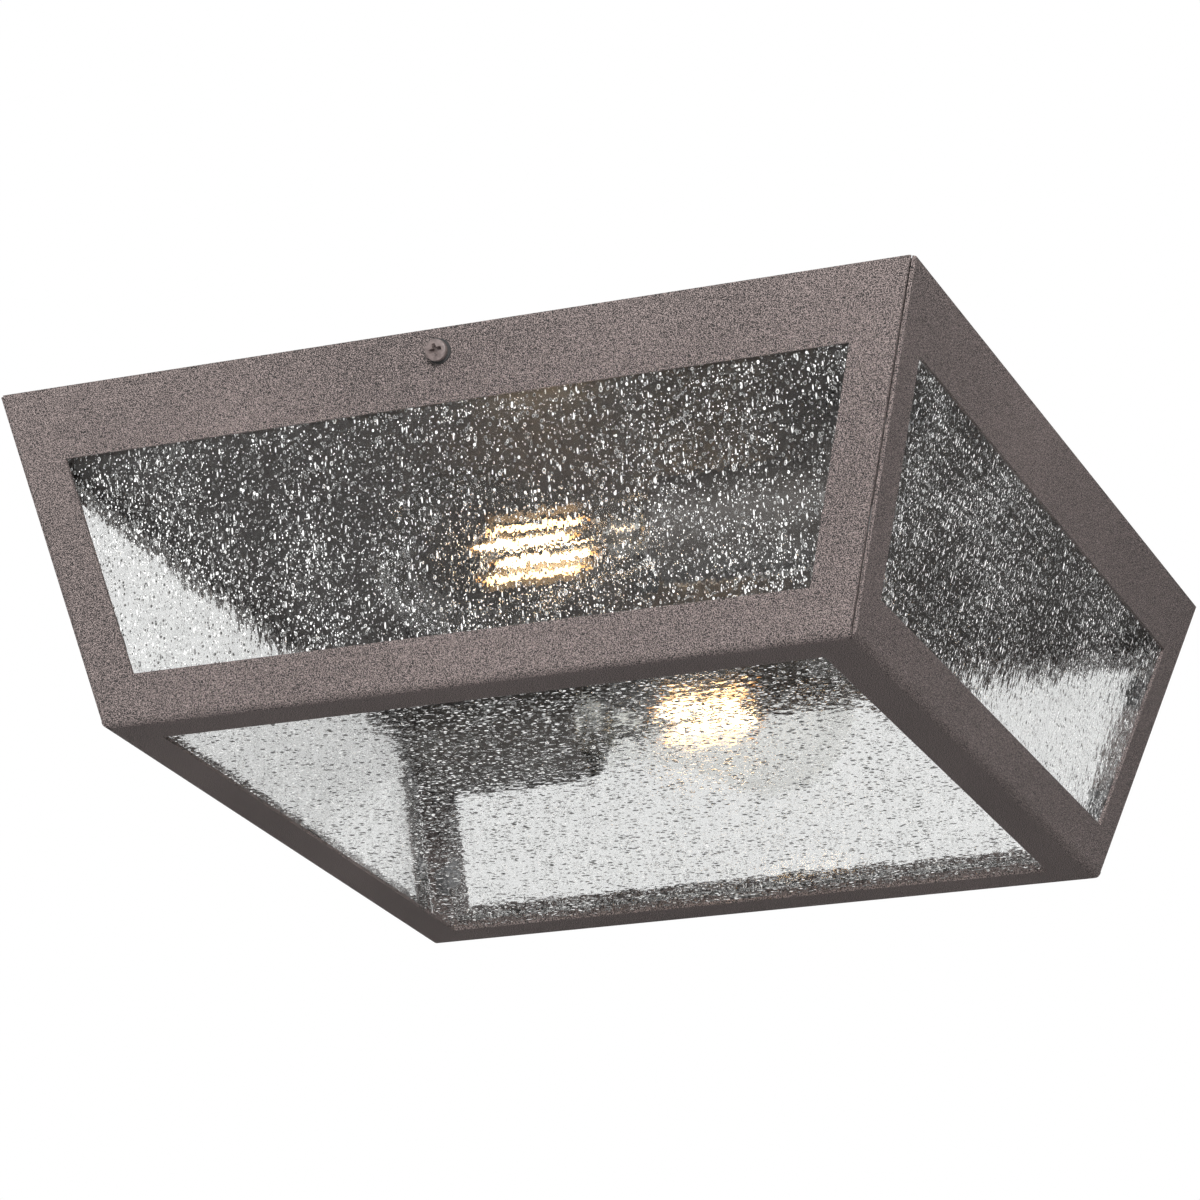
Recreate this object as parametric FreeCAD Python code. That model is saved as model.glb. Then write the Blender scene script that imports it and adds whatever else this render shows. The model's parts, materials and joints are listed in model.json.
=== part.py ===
import FreeCAD, Part
import math
import os

Vector = FreeCAD.Vector

# Outdoor flush mount ceiling light, in millimetres.
# The origin is the centre of the ceiling plane, +Z points into the ceiling and
# the front wall with its cage screw faces -Y.

# Cage: one folded steel blank, wide at the ceiling and narrow at the bottom
TOP_WIDTH = 305.0
BOTTOM_WIDTH = 247.4
CAGE_HEIGHT = 105.0
CAGE_SHEET = 1.2
CAGE_BEND_RADIUS = 3.0
SEAM_GAP = 0.4
SEAM_EDGE_ROUND = 0.45
TOP_BAND = 23.3
LOWER_BAND = 15.6
LEG_BAND = 15.6
FLOOR_BAND = 14.1

# Glass panes and the spring clips that hold them against the cage
PANE_THICKNESS = 3.0
PANE_LAP = 5.0
CLIP_SHEET = 0.8
CLIP_WIDTH = 11.0
CLIP_FOOT = 5.2
CLIP_FINGER = 3.8
CLIP_PANE_GAP = 0.3
CLIP_BEND_ROUND = 0.6
CLIP_PLACE_SHARES = (0.22, 0.78)

# Canopy pan, hidden inside the top of the cage
CANOPY_DEPTH = 12.5
CANOPY_SHEET = 1.0
CANOPY_CLEARANCE = 0.4
CANOPY_BEND_RADIUS = 2.0
CANOPY_LIP = 8.0
GASKET_THICKNESS = 1.2
GASKET_WIDTH = 7.0
GASKET_SETBACK = 0.4

# Screws that hold the cage to the canopy, one in front and one behind
CAGE_SCREW_RADIUS = 2.05
CAGE_SCREW_LENGTH = 9.4
CAGE_SCREW_HEAD_RADIUS = 4.1
CAGE_SCREW_HEAD_HEIGHT = 2.7
CAGE_SCREW_HEAD_ROUND = 1.5
RECESS_SPAN = 4.4
RECESS_WIDTH = 0.9
RECESS_DEPTH = 1.7
SEAL_RADIUS = 3.9
SEAL_THICKNESS = 0.6
SEAL_CLEARANCE = 0.1
SCREW_HOLE_CLEARANCE = 0.3
THREAD_CLEARANCE = 0.05
CLINCH_NUT_RADIUS = 3.5
CLINCH_NUT_THICKNESS = 2.6
CLINCH_NUT_LIP_GAP = 0.28

# Crossbar on the ceiling box, with its studs and cap nuts
CROSSBAR_END_MARGIN = 8.0
CROSSBAR_WIDTH = 22.0
CROSSBAR_THICKNESS = 1.6
CROSSBAR_CENTRE_HOLE_RADIUS = 5.0
BOX_SLOT_SPACING = 79.4
BOX_SLOT_LENGTH = 14.0
BOX_SLOT_WIDTH = 4.4
STUD_SPACING = 108.0
STUD_RADIUS = 2.05
STUD_RECESS = 0.1
STUD_HOLE_CLEARANCE = 0.25
STUD_WASHER_RADIUS = 5.5
STUD_WASHER_THICKNESS = 0.8
CAP_NUT_ACROSS_FLATS = 8.7
CAP_NUT_HEX_HEIGHT = 3.6
CAP_NUT_DOME_RADIUS = 3.9
CAP_NUT_BORE_DEPTH = 5.8
STUD_END_GAP = 0.4
GROUND_SCREW_OFFSET = 20.0
GROUND_SCREW_RADIUS = 2.4
GROUND_SCREW_ACROSS_FLATS = 8.0
GROUND_SCREW_HEAD_HEIGHT = 2.6
GROUND_SCREW_FLANGE_RADIUS = 5.2
GROUND_SCREW_FLANGE_THICKNESS = 0.8

# Snap bushing where the supply leads come through the canopy
BUSHING_OFFSET = 28.0
BUSHING_HOLE_RADIUS = 11.0
BUSHING_BORE_RADIUS = 8.5
BUSHING_FLANGE_RADIUS = 13.0
BUSHING_FLANGE_THICKNESS = 1.4
BUSHING_LIP_RADIUS = 11.8
BUSHING_LIP_HEIGHT = 2.2
BUSHING_CLEARANCE = 0.2

# Where the two lamps lie: level, side by side and head to tail
LAMP_DROP = 45.5
LAMP_EDGE_DISTANCE = 73.5
CUP_EDGE_DISTANCE = 46.5
CUP_LENGTH = 61.0

# Lampholder: necked cup, moulded body, screw shell and centre contact
CUP_WALL = 0.8
CUP_MOUTH_CLEARANCE = 1.2
CUP_SHOULDER_RADIUS = 3.5
CUP_CORNER_RADIUS = 2.0
BODY_CUP_CLEARANCE = 0.3
BODY_SETBACK = 5.0
BODY_LENGTH = 44.0
BODY_FLOOR_DEPTH = 3.5
BODY_EDGE_CHAMFER = 1.0
SHELL_SETBACK = 1.0
SHELL_WALL = 0.4
SHELL_BODY_CLEARANCE = 0.1
SHELL_FLOOR_HOLE_RADIUS = 6.4
LEAF_SHEET = 0.5
LEAF_WIDTH = 5.0
LEAF_HALF_LENGTH = 5.4
LEAF_FOOT = 2.2
LEAF_TOP_HALF = 1.8
CONTACT_GAP = 0.3
NIPPLE_RADIUS = 4.9
NIPPLE_BORE_RADIUS = 3.4
NIPPLE_ENGAGEMENT = 9.0
NIPPLE_OVERHANG = 1.2
NIPPLE_CLEARANCE = 0.1
NIPPLE_NUT_ACROSS_FLATS = 14.0
NIPPLE_NUT_THICKNESS = 3.2
LEAD_HOLE_RADIUS = 3.1
LEAD_HOLE_CORNER_GAP = 0.7
TERMINAL_SPACING = 21.0
TERMINAL_HEAD_RADIUS = 3.2
TERMINAL_HEAD_HEIGHT = 2.2
TERMINAL_SHANK_RADIUS = 1.7
TERMINAL_DEPTH = 5.0
TERMINAL_SLOT_WIDTH = 0.9
TERMINAL_SLOT_DEPTH = 1.0

# Bracket that carries a lampholder under the canopy, and its rivets
BRACKET_SHEET = 1.5
BRACKET_WIDTH = 36.0
BRACKET_FOOT = 17.0
BRACKET_BEND_RADIUS = 3.0
RIVET_SPACING = 22.0
RIVET_SHANK_RADIUS = 2.0
RIVET_HEAD_RADIUS = 3.6
RIVET_HEAD_HEIGHT = 1.5
RIVET_TAIL_RADIUS = 3.0
RIVET_TAIL_HEIGHT = 0.9
RIVET_CLEARANCE = 0.1

# Screw-in lamp, measured along its axis from the button of its base
LAMP_SEATED_DEPTH = 27.0
LAMP_LENGTH = 122.0
LAMP_RADIUS = 29.5
LAMP_NECK_START = 22.8
LAMP_NECK_END = 34.0
LAMP_GLASS = 0.8
BASE_RADIUS = 13.2
NECK_STEP = 0.1
BASE_CLEARANCE = 0.3
BASE_WALL = 0.35
BASE_START = 4.0
BASE_CONE_END = 7.5
BASE_STRAIGHT_END = 21.4
BASE_END = 25.0
BASE_SKIRT_FLARE = 0.9
BASE_HOLE_RADIUS = 7.2
INSULATOR_GAP = 0.3
INSULATOR_START = 1.6
INSULATOR_TIP_RADIUS = 5.0
INSULATOR_END = 6.0
BUTTON_RADIUS = 4.6
BUTTON_ROUND = 1.2

# Inside the lamp: pressed stem, support wires and four filaments
STEM_SEAL_GAP = 0.2
STEM_START = 26.0
STEM_FLARE_END = 35.0
STEM_TUBE_RADIUS = 5.6
STEM_TUBE_END = 44.0
STEM_PRESS_RADIUS = 3.2
STEM_PRESS_END = 48.0
POST_RADIUS = 1.3
POST_END = 88.0
FILAMENT_START = 51.0
FILAMENT_LENGTH = 38.0
FILAMENT_RADIUS = 1.0
FILAMENT_CIRCLE_RADIUS = 8.0
FILAMENT_COUNT = 4
FILAMENT_TURN = 88.0
WIRE_RADIUS = 0.3
WIRE_END_GAP = 0.1

# Cuts run this far past the faces that they open
OVERRUN = 5.0

# Sizes that follow from the ones above
TOP_HALF = TOP_WIDTH / 2
BOTTOM_HALF = BOTTOM_WIDTH / 2
SLOPE_RATE = (TOP_HALF - BOTTOM_HALF) / CAGE_HEIGHT
LEAN = math.atan(SLOPE_RATE)
COS_LEAN = math.cos(LEAN)
SIN_LEAN = math.sin(LEAN)
SLOPE_LENGTH = CAGE_HEIGHT / COS_LEAN
LEG_FACTOR = math.sqrt(1 + SIN_LEAN ** 2)
LEG_ANGLE = math.degrees(math.atan(SIN_LEAN))
BEND_TANGENT = CAGE_BEND_RADIUS * math.tan((math.pi / 2 - LEAN) / 2)
CANOPY_INSET = CAGE_SHEET + CANOPY_CLEARANCE
CANOPY_FLOOR_TOP = CANOPY_SHEET - CANOPY_DEPTH
CLINCH_NUT_START = CANOPY_INSET + CANOPY_SHEET
CLINCH_NUT_END = CLINCH_NUT_START + CLINCH_NUT_THICKNESS
NUT_TOP_DROP = GASKET_THICKNESS + CANOPY_SHEET + CLINCH_NUT_LIP_GAP + CLINCH_NUT_END * SIN_LEAN
CAGE_SCREW_DROP = NUT_TOP_DROP / COS_LEAN + CLINCH_NUT_RADIUS
CROSSBAR_LENGTH = STUD_SPACING + 2 * CROSSBAR_END_MARGIN
LAMP_OFFSET = TOP_HALF - LAMP_EDGE_DISTANCE
CUP_END_OFFSET = TOP_HALF - CUP_EDGE_DISTANCE
CUP_MOUTH_OFFSET = CUP_END_OFFSET - CUP_LENGTH
LAMP_NECK_RADIUS = BASE_RADIUS + NECK_STEP
BASE_SKIRT_RADIUS = BASE_RADIUS + BASE_SKIRT_FLARE
CUP_RADIUS = LAMP_NECK_RADIUS + CUP_MOUTH_CLEARANCE + CUP_SHOULDER_RADIUS - CUP_WALL
LEAD_HOLE_OFFSET = CUP_RADIUS - CUP_CORNER_RADIUS - LEAD_HOLE_CORNER_GAP - LEAD_HOLE_RADIUS
BUTTON_OFFSET = CUP_MOUTH_OFFSET + LAMP_SEATED_DEPTH
CUP_END = BUTTON_OFFSET - CUP_END_OFFSET
BODY_FRONT = LAMP_SEATED_DEPTH - BODY_SETBACK
BODY_BACK = BODY_FRONT - BODY_LENGTH
BODY_RADIUS = CUP_RADIUS - CUP_WALL - BODY_CUP_CLEARANCE
SHELL_INNER_RADIUS = BASE_RADIUS + BASE_CLEARANCE
SHELL_OUTER_RADIUS = SHELL_INNER_RADIUS + SHELL_WALL
BODY_FLOOR = -CONTACT_GAP - BODY_FLOOR_DEPTH

WALL_TURNS = {"front": 0, "right": 90, "back": 180, "left": 270}


# Shared geometry

def panel_half(slope):
    """Half width of a wall's outer face, this far below the top edge along the slope."""
    return TOP_HALF - slope * SIN_LEAN


def wall_half(z, inset):
    """Half width at a height of the square that lies this far inside the outer faces."""
    return TOP_HALF + z * SLOPE_RATE - inset / COS_LEAN


def polygon_face(points):
    corners = [Vector(*point) for point in points]
    return Part.Face(Part.makePolygon(corners + corners[:1]))


def frustum(inset, top, bottom):
    """Solid between two heights whose sides lie this far inside the cage's outer faces."""
    wide = wall_half(top, inset)
    narrow = wall_half(bottom, inset)
    profile = polygon_face([
        (-wide, -TOP_HALF, top), (wide, -TOP_HALF, top),
        (narrow, -TOP_HALF, bottom), (-narrow, -TOP_HALF, bottom),
    ])
    across = profile.extrude(Vector(0, TOP_WIDTH, 0))
    return across.common(rotated(across, Vector(0, 0, 1), 90))


def square_block(half, low, high):
    return Part.makeBox(2 * half, 2 * half, high - low, Vector(-half, -half, low))


def disc(radius, low, high, x=0.0, y=0.0):
    return Part.makeCylinder(radius, high - low, Vector(x, y, low))


def hexagon(across_flats, low, high, x=0.0, y=0.0):
    radius = across_flats / math.sqrt(3)
    angles = [math.radians(60 * step) for step in range(6)]
    points = [(x + radius * math.cos(a), y + radius * math.sin(a), low) for a in angles]
    return polygon_face(points).extrude(Vector(0, 0, high - low))


def turned(points):
    """Solid of revolution about Z of a closed outline of (radius, height) points.

    An outline item that holds two pairs is an arc: its middle point and its end.
    """
    edges = []
    here = Vector(points[0][0], 0, points[0][1])
    first = here
    for item in points[1:]:
        if isinstance(item[0], tuple):
            middle, end = (Vector(radius, 0, z) for radius, z in item)
            edges.append(Part.Arc(here, middle, end).toShape())
        else:
            end = Vector(item[0], 0, item[1])
            edges.append(Part.LineSegment(here, end).toShape())
        here = end
    edges.append(Part.LineSegment(here, first).toShape())
    face = Part.Face(Part.Wire(edges))
    return face.revolve(Vector(0, 0, 0), Vector(0, 0, 1), 360)


def arc_middle(centre, radius, start, end):
    """Point halfway along the shorter arc between two points on a circle."""
    angles = [math.atan2(point[1] - centre[1], point[0] - centre[0]) for point in (start, end)]
    angle = sum(angles) / 2
    return (centre[0] + radius * math.cos(angle), centre[1] + radius * math.sin(angle))


def rod_between(start, end, radius):
    along = end - start
    return Part.makeCylinder(radius, along.Length, start, along)


def rotated(shape, axis, degrees):
    placed = shape.copy()
    placed.rotate(Vector(0, 0, 0), axis, degrees)
    return placed


def moved(shape, x, y, z):
    placed = shape.copy()
    placed.translate(Vector(x, y, z))
    return placed


def on_wall(shape, side):
    """Places a shape drawn flat on a wall: X along the wall, Y up the slope, Z outwards."""
    placed = rotated(shape, Vector(1, 0, 0), 90 + math.degrees(LEAN))
    return rotated(moved(placed, 0, -TOP_HALF, 0), Vector(0, 0, 1), WALL_TURNS[side])


def on_lamp_axis(shape, which):
    """Places a shape drawn along Z, tip upwards, on the axis of lamp a or lamp b."""
    placed = rotated(shape, Vector(0, 1, 0), -90)
    placed = moved(placed, BUTTON_OFFSET, -LAMP_OFFSET, -LAMP_DROP)
    return rotated(placed, Vector(0, 0, 1), 180) if which == "b" else placed


def group(solids):
    return Part.makeCompound(solids)


# Cage

def trapezoid(top, bottom, edge):
    """Outline on a wall between two slope distances, kept this far from both legs."""
    side = edge * LEG_FACTOR
    top_half = panel_half(top) - side
    bottom_half = panel_half(bottom) - side
    return [(-top_half, top), (top_half, top), (bottom_half, bottom), (-bottom_half, bottom)]


def wall_plate(outline, outer_depth, inner_depth):
    """Flat plate on a wall, between two depths below the wall's outer face."""
    face = polygon_face([(x, -slope, -outer_depth) for x, slope in outline])
    return face.extrude(Vector(0, 0, outer_depth - inner_depth))


def wall_edge_setback():
    """Square-cut wall edges meet at their inner corners, less half the seam."""
    return CAGE_SHEET * COS_LEAN + SEAM_GAP / 2


def cage_wall():
    """Flat wall whose square-cut top edge meets the ceiling with its inner corner."""
    high = CAGE_SHEET * SLOPE_RATE
    low = SLOPE_LENGTH - BEND_TANGENT
    outline = trapezoid(high, low, wall_edge_setback() / LEG_FACTOR)
    plate = wall_plate(outline, 0, CAGE_SHEET)
    seam_edges = [
        edge for edge in plate.Edges
        if all(abs(v.Z) < SEAM_EDGE_ROUND / 2 for v in edge.Vertexes)
        and abs(edge.Vertexes[0].Y - edge.Vertexes[1].Y) > low / 2
    ]
    return plate.makeFillet(SEAM_EDGE_ROUND, seam_edges)


def cage_bend():
    """Rounded bend between the front wall and the floor, mitred at both ends."""
    radius = CAGE_BEND_RADIUS
    centre = Vector(0, BEND_TANGENT - BOTTOM_HALF, radius - CAGE_HEIGHT)
    down = Vector(0, 0, -1)
    outwards = Vector(0, -COS_LEAN, -SIN_LEAN)
    halfway = (down + outwards).normalize()
    inner = radius - CAGE_SHEET
    edges = [
        Part.Arc(centre + down * radius, centre + halfway * radius, centre + outwards * radius),
        Part.LineSegment(centre + outwards * radius, centre + outwards * inner),
        Part.Arc(centre + outwards * inner, centre + halfway * inner, centre + down * inner),
        Part.LineSegment(centre + down * inner, centre + down * radius),
    ]
    half = panel_half(SLOPE_LENGTH - BEND_TANGENT) - wall_edge_setback()
    face = Part.Face(Part.Wire([edge.toShape() for edge in edges]))
    bend = moved(face, -half, 0, 0).extrude(Vector(2 * half, 0, 0))
    setback = SEAM_GAP / math.sqrt(2)
    low = -CAGE_HEIGHT - OVERRUN
    wedge = polygon_face([
        (0, -setback, low),
        (-TOP_HALF, -TOP_HALF - setback, low),
        (TOP_HALF, -TOP_HALF - setback, low),
    ]).extrude(Vector(0, 0, CAGE_HEIGHT))
    return bend.common(wedge)


def cage_screw_hole(radius, outer_depth, inner_depth):
    return disc(radius, -inner_depth, -outer_depth, 0, -CAGE_SCREW_DROP)


def make_cage():
    floor = square_block(BOTTOM_HALF - BEND_TANGENT, -CAGE_HEIGHT, CAGE_SHEET - CAGE_HEIGHT)
    folds = []
    for side, turn in WALL_TURNS.items():
        folds.append(on_wall(cage_wall(), side))
        folds.append(rotated(cage_bend(), Vector(0, 0, 1), turn))
    cage = floor.fuse(folds).removeSplitter()
    window = trapezoid(TOP_BAND, SLOPE_LENGTH - LOWER_BAND, LEG_BAND)
    openings = [on_wall(wall_plate(window, -OVERRUN, OVERRUN), side) for side in WALL_TURNS]
    floor_half = BOTTOM_HALF - FLOOR_BAND
    openings.append(square_block(floor_half, -CAGE_HEIGHT - OVERRUN, OVERRUN - CAGE_HEIGHT))
    hole = cage_screw_hole(CAGE_SCREW_RADIUS + SCREW_HOLE_CLEARANCE, -OVERRUN, OVERRUN)
    openings += [on_wall(hole, side) for side in ("front", "back")]
    return cage.cut(openings)


# Glass panes and clips

def side_pane():
    outline = trapezoid(
        TOP_BAND - PANE_LAP,
        SLOPE_LENGTH - LOWER_BAND + PANE_LAP,
        LEG_BAND - PANE_LAP,
    )
    return wall_plate(outline, CAGE_SHEET, CAGE_SHEET + PANE_THICKNESS)


def floor_pane():
    low = CAGE_SHEET - CAGE_HEIGHT
    return square_block(BOTTOM_HALF - FLOOR_BAND + PANE_LAP, low, low + PANE_THICKNESS)


def pane_clip():
    """Stepped clip at the origin: foot on the cage, finger on the glass towards -X."""
    near = CLIP_PANE_GAP
    far = near + CLIP_SHEET
    low = PANE_THICKNESS
    outline = [
        (far + CLIP_FOOT, 0), (far + CLIP_FOOT, CLIP_SHEET), (far, CLIP_SHEET),
        (far, low + CLIP_SHEET), (-CLIP_FINGER, low + CLIP_SHEET), (-CLIP_FINGER, low),
        (near, low), (near, 0),
    ]
    half = CLIP_WIDTH / 2
    face = polygon_face([(x, -half, -depth) for x, depth in outline])
    clip = face.extrude(Vector(0, CLIP_WIDTH, 0))
    outer_bends = [
        edge for edge in clip.Edges
        if abs(edge.Vertexes[0].Y - edge.Vertexes[1].Y) > half
        and abs(edge.Vertexes[0].X - far) < CLIP_PANE_GAP
        and edge.Vertexes[0].Z < -low
    ]
    return clip.makeFillet(CLIP_BEND_ROUND, outer_bends)


def side_clips(side):
    """Two clips on each leg of a wall, square to the pane's sloping edge."""
    top = TOP_BAND - PANE_LAP
    bottom = SLOPE_LENGTH - LOWER_BAND + PANE_LAP
    edge = (LEG_BAND - PANE_LAP) * LEG_FACTOR
    clips = []
    for share in CLIP_PLACE_SHARES:
        slope = top + share * (bottom - top)
        x = panel_half(slope) - edge
        clip = rotated(pane_clip(), Vector(0, 0, 1), -LEG_ANGLE)
        right = moved(clip, x, -slope, -CAGE_SHEET)
        left = right.mirror(Vector(0, 0, 0), Vector(1, 0, 0))
        clips += [on_wall(right, side), on_wall(left, side)]
    return group(clips)


def floor_clips():
    half = BOTTOM_HALF - FLOOR_BAND + PANE_LAP
    clip = rotated(pane_clip(), Vector(1, 0, 0), 180)
    seated = moved(clip, half, 0, CAGE_SHEET - CAGE_HEIGHT)
    return group([rotated(seated, Vector(0, 0, 1), turn) for turn in WALL_TURNS.values()])


# Canopy and its fixings

def bottom_edges(shape, z):
    return [e for e in shape.Edges if all(abs(v.Z - z) < CANOPY_SHEET / 2 for v in e.Vertexes)]


def make_canopy():
    rim = -GASKET_THICKNESS
    outer = frustum(CANOPY_INSET, rim, -CANOPY_DEPTH)
    outer = outer.makeFillet(CANOPY_BEND_RADIUS, bottom_edges(outer, -CANOPY_DEPTH))
    inner = frustum(CANOPY_INSET + CANOPY_SHEET, rim - CANOPY_SHEET, CANOPY_FLOOR_TOP)
    inner_round = CANOPY_BEND_RADIUS - CANOPY_SHEET
    inner = inner.makeFillet(inner_round, bottom_edges(inner, CANOPY_FLOOR_TOP))
    mouth_half = wall_half(rim, CANOPY_INSET) - CANOPY_LIP
    mouth = square_block(mouth_half, rim - CANOPY_SHEET - CANOPY_SHEET, rim + OVERRUN)
    low = -CANOPY_DEPTH - OVERRUN
    high = CANOPY_FLOOR_TOP + CANOPY_SHEET
    holes = [disc(BUSHING_HOLE_RADIUS, low, high, 0, BUSHING_OFFSET)]
    stud_hole = STUD_RADIUS + STUD_HOLE_CLEARANCE
    holes += [disc(stud_hole, low, high, x) for x in stud_places()]
    rivet_hole = RIVET_SHANK_RADIUS + RIVET_CLEARANCE
    holes += [disc(rivet_hole, low, high, x, y) for x, y in rivet_places()]
    depth = CANOPY_INSET + CANOPY_SHEET
    screw_hole = cage_screw_hole(CAGE_SCREW_RADIUS + SCREW_HOLE_CLEARANCE, 0, depth + CANOPY_SHEET)
    holes += [on_wall(screw_hole, side) for side in ("front", "back")]
    return outer.cut([inner, mouth] + holes)


def make_gasket():
    half = wall_half(0, CANOPY_INSET) - GASKET_SETBACK
    ring = square_block(half, -GASKET_THICKNESS, 0)
    return ring.cut(square_block(half - GASKET_WIDTH, -GASKET_THICKNESS - OVERRUN, OVERRUN))


def clinch_nuts():
    nut = cage_screw_hole(CLINCH_NUT_RADIUS, CLINCH_NUT_START, CLINCH_NUT_END)
    nut = nut.cut(cage_screw_hole(CAGE_SCREW_RADIUS + THREAD_CLEARANCE, 0, CLINCH_NUT_END + OVERRUN))
    return group([on_wall(nut, side) for side in ("front", "back")])


def stud_places():
    return (-STUD_SPACING / 2, STUD_SPACING / 2)


def make_crossbar():
    """Bar against the ceiling box, with a slot for each box screw and round ends."""
    low = -CROSSBAR_THICKNESS
    half = CROSSBAR_WIDTH / 2
    straight = CROSSBAR_LENGTH - CROSSBAR_WIDTH
    bar = Part.makeBox(straight, CROSSBAR_WIDTH, CROSSBAR_THICKNESS, Vector(-straight / 2, -half, low))
    bar = bar.fuse([disc(half, low, 0, x) for x in (-straight / 2, straight / 2)]).removeSplitter()
    slot_half = BOX_SLOT_WIDTH / 2
    run = BOX_SLOT_LENGTH - BOX_SLOT_WIDTH
    cuts = [disc(CROSSBAR_CENTRE_HOLE_RADIUS, low - OVERRUN, OVERRUN)]
    for centre in (-BOX_SLOT_SPACING / 2, BOX_SLOT_SPACING / 2):
        start = Vector(centre - run / 2, -slot_half, low - OVERRUN)
        cuts.append(Part.makeBox(run, BOX_SLOT_WIDTH, CROSSBAR_THICKNESS + 2 * OVERRUN, start))
        cuts += [disc(slot_half, low - OVERRUN, OVERRUN, centre + end) for end in (-run / 2, run / 2)]
    cuts += [disc(STUD_RADIUS + THREAD_CLEARANCE, low - OVERRUN, OVERRUN, x) for x in stud_places()]
    ground = GROUND_SCREW_RADIUS + THREAD_CLEARANCE
    cuts.append(disc(ground, low - OVERRUN, OVERRUN, GROUND_SCREW_OFFSET))
    return bar.cut(cuts)


def cap_nut_seat():
    return -CANOPY_DEPTH - STUD_WASHER_THICKNESS


def mounting_studs():
    low = cap_nut_seat() - CAP_NUT_BORE_DEPTH + STUD_END_GAP
    return group([disc(STUD_RADIUS, low, -STUD_RECESS, x) for x in stud_places()])


def stud_washers():
    low = cap_nut_seat()
    washer = disc(STUD_WASHER_RADIUS, low, -CANOPY_DEPTH)
    washer = washer.cut(disc(STUD_RADIUS + STUD_HOLE_CLEARANCE, low - OVERRUN, -CANOPY_DEPTH + OVERRUN))
    return group([moved(washer, x, 0, 0) for x in stud_places()])


def cap_nuts():
    """Domed nuts that hold the canopy up on the studs."""
    seat = cap_nut_seat()
    hex_low = seat - CAP_NUT_HEX_HEIGHT
    radius = CAP_NUT_DOME_RADIUS
    slant = radius * math.cos(math.pi / 4)
    dome = turned([(0, hex_low), (radius, hex_low), ((slant, hex_low - slant), (0, hex_low - radius))])
    nut = hexagon(CAP_NUT_ACROSS_FLATS, hex_low, seat).fuse(dome)
    nut = nut.cut(disc(STUD_RADIUS + THREAD_CLEARANCE, seat - CAP_NUT_BORE_DEPTH, seat + OVERRUN))
    return group([moved(nut, x, 0, 0) for x in stud_places()])


def ground_screw():
    seat = -CROSSBAR_THICKNESS
    flange_low = seat - GROUND_SCREW_FLANGE_THICKNESS
    x = GROUND_SCREW_OFFSET
    flange = disc(GROUND_SCREW_FLANGE_RADIUS, flange_low, seat, x)
    head = hexagon(GROUND_SCREW_ACROSS_FLATS, flange_low - GROUND_SCREW_HEAD_HEIGHT, flange_low, x)
    return flange.fuse([head, disc(GROUND_SCREW_RADIUS, seat, -STUD_RECESS, x)])


def wire_bushing():
    """Snap bushing: broad flange below the canopy floor, narrow lip above it."""
    body = BUSHING_HOLE_RADIUS - BUSHING_CLEARANCE
    floor_low = -CANOPY_DEPTH
    floor_high = CANOPY_FLOOR_TOP
    flange_low = floor_low - BUSHING_FLANGE_THICKNESS
    lip_high = floor_high + BUSHING_LIP_HEIGHT
    bushing = turned([
        (BUSHING_BORE_RADIUS, flange_low),
        (BUSHING_FLANGE_RADIUS, flange_low),
        (BUSHING_FLANGE_RADIUS, floor_low),
        (body, floor_low),
        (body, floor_high),
        (BUSHING_LIP_RADIUS, floor_high),
        (body, lip_high),
        (BUSHING_BORE_RADIUS, lip_high),
    ])
    return moved(bushing, 0, BUSHING_OFFSET, 0)


# Cage screws with their sealing washers

def cage_screw(side):
    seat = SEAL_THICKNESS
    top = seat + CAGE_SCREW_HEAD_HEIGHT
    radius = CAGE_SCREW_HEAD_RADIUS
    corner = CAGE_SCREW_HEAD_ROUND
    slant = corner * math.cos(math.pi / 4)
    screw = turned([
        (0, seat - CAGE_SCREW_LENGTH),
        (CAGE_SCREW_RADIUS, seat - CAGE_SCREW_LENGTH),
        (CAGE_SCREW_RADIUS, seat),
        (radius, seat),
        (radius, top - corner),
        ((radius - corner + slant, top - corner + slant), (radius - corner, top)),
        (0, top),
    ])
    half = RECESS_WIDTH / 2
    span = RECESS_SPAN / 2
    low = top - RECESS_DEPTH
    outline = [(-span, -half, top), (span, -half, top), (half, -half, low), (-half, -half, low)]
    slot = polygon_face(outline).extrude(Vector(0, RECESS_WIDTH, 0))
    recess = [slot, rotated(slot, Vector(0, 0, 1), 90)]
    return on_wall(moved(screw.cut(recess), 0, -CAGE_SCREW_DROP, 0), side)


def cage_screw_seal(side):
    bore = CAGE_SCREW_RADIUS + SEAL_CLEARANCE
    washer = cage_screw_hole(SEAL_RADIUS, -SEAL_THICKNESS, 0)
    return on_wall(washer.cut(cage_screw_hole(bore, -SEAL_THICKNESS - OVERRUN, OVERRUN)), side)


# Lampholders

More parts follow.
